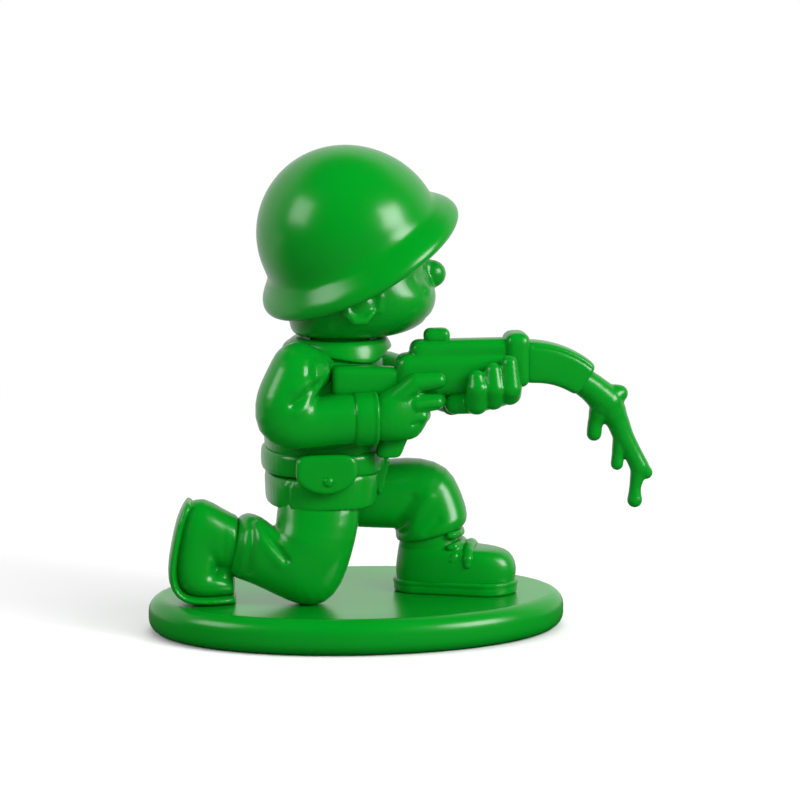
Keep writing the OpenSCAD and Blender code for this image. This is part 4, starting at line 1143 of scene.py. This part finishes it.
@dataclass
class LeftArm(Piece):
    """Left sleeve, cuff and hand under the fore-end."""

    face: float = 7.0
    half: float = 6.6
    fore: float = 6.1
    butt_x: float = BUTT_X
    shoulder_z: float = SHOULDER_Z
    elbow: tuple = (9.0, 11.6, 60.6)
    wrist: tuple = (23.5, -8.4, 58.2)
    finger: float = 2.6

    def build(self, kit: Kit) -> None:
        """Makes the arm."""
        e, w = Vector(self.elbow), Vector(self.wrist)
        turn = math.degrees(math.atan2(w.y - e.y, w.x - e.x))
        x, z, half, f = self.butt_x, self.shoulder_z, self.half, self.fore
        y = self.face + 4.8
        sleeve = Clay().loft([
            slice_ring((x - 5.8, y - 2.6, z + 1.6), -60, 3, 3.2),
            slice_ring((x - 5, y - 1.4, z), -56, half - 1.6, half - 1),
            slice_ring((x - 3.4, y - 0.4, z - 3.2), -48, half - 0.1, half - 0.1),
            slice_ring((x + 1, y, z - 5), -30, half, half),
            slice_ring((x + 9, y + 0.4, e.z + 2.9), -16, half - 0.3, half - 0.3, SOFT, -4),
            slice_ring((e.x - 2, e.y - 0.3, e.z + 1.2), -8, f + 0.4, f + 0.4, SOFT, -16),
            slice_ring((e.x + 2.4, e.y - 3, e.z + 0.7), -4, f + 0.2, f + 0.2, SOFT, turn + 14),
            slice_ring((*(e + (w - e) * 0.55).xy, e.z - 0.4), -2, f - 0.5, f - 0.7, SOFT, turn),
            slice_ring((*(e + (w - e) * 0.82).xy, e.z - 0.4), -2, f - 1.4, f - 1.6, SOFT, turn)])
        folds = (Fold(((4, 5.4, 66), (7, 4.4, 62), (8, 5, 57)), 1.1, -0.7),
                 Fold(((1.4, 5.4, 67), (4, 4.6, 63), (4.6, 5.4, 58)), 1.2, 0.45))
        kit.cast("left_sleeve", sleeve, Detail.MEDIUM, 4, folds)
        s = (w - e).normalized()
        p = e + (w - e) * 0.8
        p.z = e.z - 0.3
        f -= 1.4
        cuff = Clay().loft([slice_ring(tuple(p + s * d), -4, r, r, SOFT, turn) for d, r in (
            (0, f - 1), (0, f - 0.1), (0.7, f + 0.3), (4.2, f + 0.3), (4.6, f), (4.9, f + 0.6),
            (5.5, f + 0.6), (5.6, f - 0.6))])
        kit.cast("left_cuff", cuff, Detail.FINE, 2)
        self._hand(kit, p + s * 5.3, turn)

    def _hand(self, kit: Kit, wrist: Vector, turn: float) -> None:
        """Makes the hand, with its palm under the rifle and its fingers up the near side.

        Args:
            kit: Where the piece goes.
            wrist: End of the cuff.
            turn: Direction of the forearm about Z, in degrees.
        """
        ry, low_z, f = RIFLE_Y, RIFLE_LOW, self.finger
        near = ry - 4.5 - 0.2 - f
        under = low_z - 2.0
        mid = BAND_X - 3.7
        clay = Clay().loft([
            slice_ring((wrist.x, wrist.y, wrist.z + 0.6), -4, 4.6, 4.4, SOFT, turn),
            slice_ring((wrist.x + 2.4, wrist.y - 2.6, wrist.z + 1.4), -2, 4.8, 3.8, SOFT, turn + 8),
            slice_ring((mid - 5.2, ry + 2.2, under + 0.4), 0, 4.6, 3.2, SOFT, turn + 30),
            slice_ring((mid - 1, ry + 0.6, under + 0.4), 4, 5.4, 2.8, SOFT, -20),
            slice_ring((mid + 4.8, ry, under + 1.6), 8, 5, 2.0, SOFT, 0)])
        for i in (-1, 0, 1):
            x = mid - 0.1 + i * 4.05
            top = low_z + 6.9 + i * 1.7
            low = under + 1.0 + i * 1.1
            clay.path([(x - 0.2, ry - 1, low), (x, near + 1.4, low + 1.0), (x, near - 0.1, low_z + 2.6),
                       (x - 0.2, near + 0.3, top)], [f, f + 0.35, f + 0.25, f - 0.5])
        clay.bar((mid - 9, ry - 2.4, under + 0.2), (mid - 5, ry - 3, under + 0.6), f, f + 0.3)
        clay.bar((mid - 5, ry + 6.4, under + 2), (mid + 1, ry + 6.4, low_z + 4.6), f, f - 0.4)
        kit.cast("left_hand", clay, Detail.FINE, 8)


@dataclass
class Rifle(Piece):
    """Rifle with a barrel that droops and melts."""

    y: float = RIFLE_Y
    butt_x: float = BUTT_X
    receiver_x: float = 9.5
    band_x: float = BAND_X
    muzzle_x: float = 41.1
    bore_z: float = 69.2
    low_z: float = RIFLE_LOW
    fore_top: float = 68.9
    droop: float = 38.0
    droop_r: float = 21.9
    stock_half: float = 3.3
    barrel_half: float = 3.8

    def build(self, kit: Kit) -> None:
        """Makes the rifle."""
        y, w = self.y, self.stock_half
        stock = Clay().loft([slice_ring((x, y, z), 0, a, b, 3.4) for x, z, a, b in (
            (self.butt_x, 65.4, w - 1, 3.0), (self.butt_x + 0.5, 65.4, w - 0.2, 3.7),
            (self.butt_x + 1.6, 65.4, w, 4.0), (self.receiver_x - 6, 65.1, w - 0.2, 3.7),
            (self.receiver_x + 0.6, 65.0, w - 0.4, 3.5))])
        kit.cast("rifle_stock", stock, Detail.FINE, 3)
        self._grip(kit)
        top, front = self.bore_z + 6, self.band_x + 4
        body = Clay().block((self.receiver_x - 2.2, y - 4.2, self.low_z),
                            (front, y + 4.2, self.fore_top + 3), 2.8)
        body.block((self.receiver_x + 1.4, y - 3.2, self.fore_top - 2), (front, y + 3.2, top), 2.3)
        kit.cast("rifle_receiver", body, Detail.FINE, 7)
        sight = Clay().block((14.3, y - 2.1, top - 1), (20.9, y + 2.1, top + 2.8), 1.7)
        kit.cast("rear_sight", sight, Detail.FINE, 4)
        band = Clay().block((self.band_x - 0.4, y - 4.5, self.bore_z - 6.2),
                            (self.muzzle_x - 0.6, y + 4.5, self.bore_z + 7.5), 2.4)
        kit.cast("front_band", band, Detail.FINE, 5)
        self._barrel(kit)
        self._melt(kit)

    def _grip(self, kit: Kit) -> None:
        """Makes the pistol grip."""
        rings = [slice_ring((x, self.y, z), pitch, a, b, 3) for x, z, pitch, a, b in (
            (13.6, self.low_z + 1.6, -112, 2.2, 2.8), (12.4, self.low_z - 2, -112, 2.3, 2.9),
            (9.2, 54.6, -108, 2.5, 3.1), (6.7, 50.4, -98, 2.8, 3.3), (5.7, 47.4, -92, 2.9, 3.4),
            (5.6, 46.2, -90, 2.4, 2.7))]
        kit.cast("pistol_grip", Clay().loft(rings), Detail.FINE, 2)

    def _at(self, t: float) -> tuple:
        """Gives a point on the barrel's middle line.

        Args:
            t: Slope of the barrel there, in degrees.

        Returns:
            X and Z of the point.
        """
        a, r = math.radians(t), self.droop_r
        return (self.muzzle_x - 0.4 + r * math.sin(a), self.bore_z - r * (1 - math.cos(a)))

    def _barrel(self, kit: Kit) -> None:
        """Makes the barrel along its bend, with a seam below its upper edge."""
        half, steps = self.barrel_half, 6
        rings = [slice_ring((self.muzzle_x - 1.4, self.y, self.bore_z), 0, 3.7, 5.2, 5)]
        seam = []
        for i in range(steps + 1):
            t = self.droop * (0.03 + 0.97 * i / steps)
            p = self._at(t)
            high = 5.3 - i * 0.12
            rings.append(slice_ring((p[0], self.y, p[1]), -0.9 * t, half, high, 5))
            seam.append((p[0] + (high - 1.3) * math.sin(math.radians(t)), self.y - half,
                         p[1] + (high - 1.3) * math.cos(math.radians(t))))
        p = self._at(self.droop)
        a = math.radians(self.droop)
        rings.append(slice_ring((p[0] + 0.5 * math.cos(a), self.y, p[1] - 0.5 * math.sin(a)),
                                -0.9 * self.droop, 3.3, 3.7, 4))
        folds = (Fold(tuple(seam), 0.4, -0.3),)
        kit.cast("drooping_barrel", Clay().loft(rings), Detail.FINE, 2, folds)

    def _melt(self, kit: Kit) -> None:
        """Makes the melted end: one long run of plastic and the drips that leave it."""
        runs = (
            ((54.0, 63.8, 3.5), (56.2, 62.2, 3.6), (58.1, 60.5, 3.85), (60.1, 58.7, 4.1), (61.4, 56.2, 3.5),
             (62.8, 53.6, 2.85), (64.2, 50, 2.6), (65.6, 47.4, 2.4), (66.9, 45, 2.3), (68.4, 42, 2.4)),
            ((60.4, 59.6, 3.4), (62.2, 60.2, 2.7), (63.2, 60.6, 2.15)),
            ((59.3, 58, 3.7), (58.2, 55.8, 2.7), (57.1, 53.2, 1.9), (56.9, 50.7, 1.9)),
            ((63.8, 50, 2.2), (63.2, 47.4, 1.8), (62.8, 45, 1.5), (62.7, 43, 1.65)),
            ((68.2, 42.2, 2.4), (69.3, 41.2, 1.95), (70.0, 40.6, 1.7)),
            ((68.4, 42, 2.3), (67.8, 39.6, 1.85), (67.3, 37, 1.5), (67.2, 35, 1.7), (67.2, 33.8, 1.95)))
        clay = Clay()
        for run in runs:
            clay.path([(x, self.y, z) for x, z, _ in run], [r for _, _, r in run])
        kit.cast("melted_muzzle", clay, Detail.FINE, 14)


@dataclass(frozen=True)
class LightBox:
    """A square area light that faces the figure.

    Attributes:
        name: Its name.
        at: Its place in metres.
        size: Its side in metres.
        power: Its power in watts.
        mirrored: Whether it shows in glossy faces.
        only: The one object that it falls on, or nothing for all.
    """

    name: str
    at: tuple
    size: float
    power: float
    mirrored: bool = False
    only: str = ""

    def build(self, aim: tuple) -> None:
        """Makes the light.

        Args:
            aim: The point that it faces, in metres.
        """
        data = bpy.data.lights.new(self.name, "AREA")
        data.shape = "SQUARE"
        data.size = self.size
        data.energy = self.power
        data.cycles.use_multiple_importance_sampling = self.mirrored
        lamp = bpy.data.objects.new(self.name, data)
        lamp.location = self.at
        lamp.visible_glossy = self.mirrored
        look = Vector(aim) - Vector(self.at)
        lamp.rotation_euler = look.to_track_quat("-Z", "Y").to_euler()
        bpy.context.scene.collection.objects.link(lamp)
        if self.only:
            lit = bpy.data.collections.new(self.name + "_lit")
            lit.objects.link(bpy.data.objects[self.only])
            lamp.light_linking.receiver_collection = lit


@dataclass
class Studio:
    """Pale floor, soft lights and the camera, in metres."""

    eye: tuple = (-0.18348, -1.35706, 0.29108)
    target: tuple = (0.01095, 0.0, 0.05733)
    lens: float = 252.0
    sensor: float = 36.0
    aim: tuple = (0, 0, 0.06)
    floor_size: float = 6.0
    floor_lit: tuple = (0.32, 0.32, 0.32, 1)
    floor_seen: tuple = (0.87, 0.87, 0.87, 1)
    lights: tuple = (
        LightBox("key", (0.72, -0.92, 0.8), 0.55, 9.0),
        LightBox("fill", (-0.2, -1.4, 0.5), 1.6, 17.0),
        LightBox("right_box", (0.80, -0.57, 0.47), 0.48, 8.0, True),
        LightBox("left_box", (-0.84, -0.24, 0.55), 0.48, 3.4, True),
        LightBox("top", (0.0, 0.15, 1.3), 1.0, 8.0),
        LightBox("back", (0.17, 1.05, 0.38), 0.3, 15.0, False, "base_plate_skin"),
    )

    def build(self) -> None:
        """Makes the studio."""
        self._camera()
        self._floor()
        self._world()
        for light in self.lights:
            light.build(self.aim)

    def _camera(self) -> None:
        """Makes the camera at the place that the photo was taken from."""
        data = bpy.data.cameras.new("camera")
        data.lens = self.lens
        data.sensor_width = self.sensor
        cam = bpy.data.objects.new("camera", data)
        cam.location = self.eye
        look = Vector(self.target) - Vector(self.eye)
        cam.rotation_euler = look.to_track_quat("-Z", "Y").to_euler()
        bpy.context.scene.collection.objects.link(cam)
        bpy.context.scene.camera = cam

    def _floor(self) -> None:
        """Makes the floor."""
        part = bmesh.new()
        bmesh.ops.create_grid(part, x_segments=1, y_segments=1, size=self.floor_size)
        mesh = bpy.data.meshes.new("floor")
        part.to_mesh(mesh)
        part.free()
        mesh.materials.append(self._floor_finish())
        floor = bpy.data.objects.new("floor", mesh)
        bpy.context.scene.collection.objects.link(floor)

    def _floor_finish(self) -> bpy.types.Material:
        """Makes a white floor that fades into the white background as the camera sees it. In glossy rays
        the floor glows instead, from nothing in front of the figure to brighter behind it: a painted
        reflection of a bright floor.

        Returns:
            The material.
        """
        mat = bpy.data.materials.new("floor")
        mat.cycles.emission_sampling = "NONE"
        mat.use_nodes = True
        tree = mat.node_tree
        shader = tree.nodes["Principled BSDF"]
        shader.inputs["Roughness"].default_value = 0.9
        shader.inputs["Specular IOR Level"].default_value = 0.0
        coords, split = add_node(tree, "TexCoord"), add_node(tree, "SeparateXYZ")
        reach = add_node(tree, "VectorMath", operation="LENGTH")
        fade = soft_ramp(tree, 0.12, 0.4, 0.0, 1.0)
        # Painted reflection: glossy rays see the floor glow white, with no glow in front of the figure and
        # 0.75 behind it.
        depth = soft_ramp(tree, -0.03, 0.16, 0.0, 0.75)
        seen = add_node(tree, "LightPath")
        share = add_node(tree, "Math", operation="MULTIPLY")
        shade = add_node(tree, "Mix", data_type="RGBA")
        shade.inputs["A"].default_value = self.floor_lit
        shade.inputs["B"].default_value = self.floor_seen
        # white is the far floor as the camera sees it; mirrored is the painted reflection that glossy rays
        # see.
        white, mirrored = add_node(tree, "Emission"), add_node(tree, "Emission")
        first, second = add_node(tree, "MixShader"), add_node(tree, "MixShader")
        wire(tree, (coords, "Object", reach, 0), (coords, "Object", split, 0),
             (reach, "Value", fade, "Value"), (fade, "Result", share, 0), (seen, "Is Camera Ray", share, 1),
             (seen, "Is Camera Ray", shade, "Factor"), (shade, "Result", shader, "Base Color"),
             (split, "Y", depth, "Value"), (depth, "Result", mirrored, "Strength"),
             (share, 0, first, 0), (shader, 0, first, 1), (white, 0, first, 2),
             (seen, "Is Glossy Ray", second, 0), (first, 0, second, 1), (mirrored, 0, second, 2),
             (second, 0, tree.nodes["Material Output"], "Surface"))
        return mat

    def _world(self) -> None:
        """Makes a white background that shows in glossy faces as a wall behind the figure."""
        world = bpy.data.worlds.new("studio")
        bpy.context.scene.world = world
        world.use_nodes = True
        tree = world.node_tree
        back = tree.nodes["Background"]
        back.inputs["Color"].default_value = (1, 1, 1, 1)
        coords, split = add_node(tree, "TexCoord"), add_node(tree, "SeparateXYZ")
        behind = soft_ramp(tree, -0.1, 0.6, 0.0, 0.85)
        height = soft_ramp(tree, 0.62, 0.9, 1.0, 0.0)
        wall = add_node(tree, "Math", operation="MULTIPLY")
        seen = add_node(tree, "LightPath")
        pick = add_node(tree, "Mix", {"B": 1.0})
        wire(tree, (coords, "Generated", split, 0), (split, "Y", behind, "Value"),
             (split, "Z", height, "Value"), (behind, "Result", wall, 0), (height, "Result", wall, 1),
             (seen, "Is Camera Ray", pick, "Factor"), (wall, 0, pick, "A"),
             (pick, "Result", back, "Strength"))


def main() -> None:
    """Builds the figure and its studio."""
    logging.basicConfig(level=logging.INFO)
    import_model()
    bpy.context.scene.view_settings.view_transform = "Standard"
    kit = Kit(PlasticFinish("green_plastic"))
    for part in (Base(), KneelingLeg(), RaisedLeg(), Jacket(), Pouch(), Head(), RightArm(), LeftArm(),
                 Rifle()):
        part.build(kit)
    Studio().build()


if __name__ == "__main__":
    main()
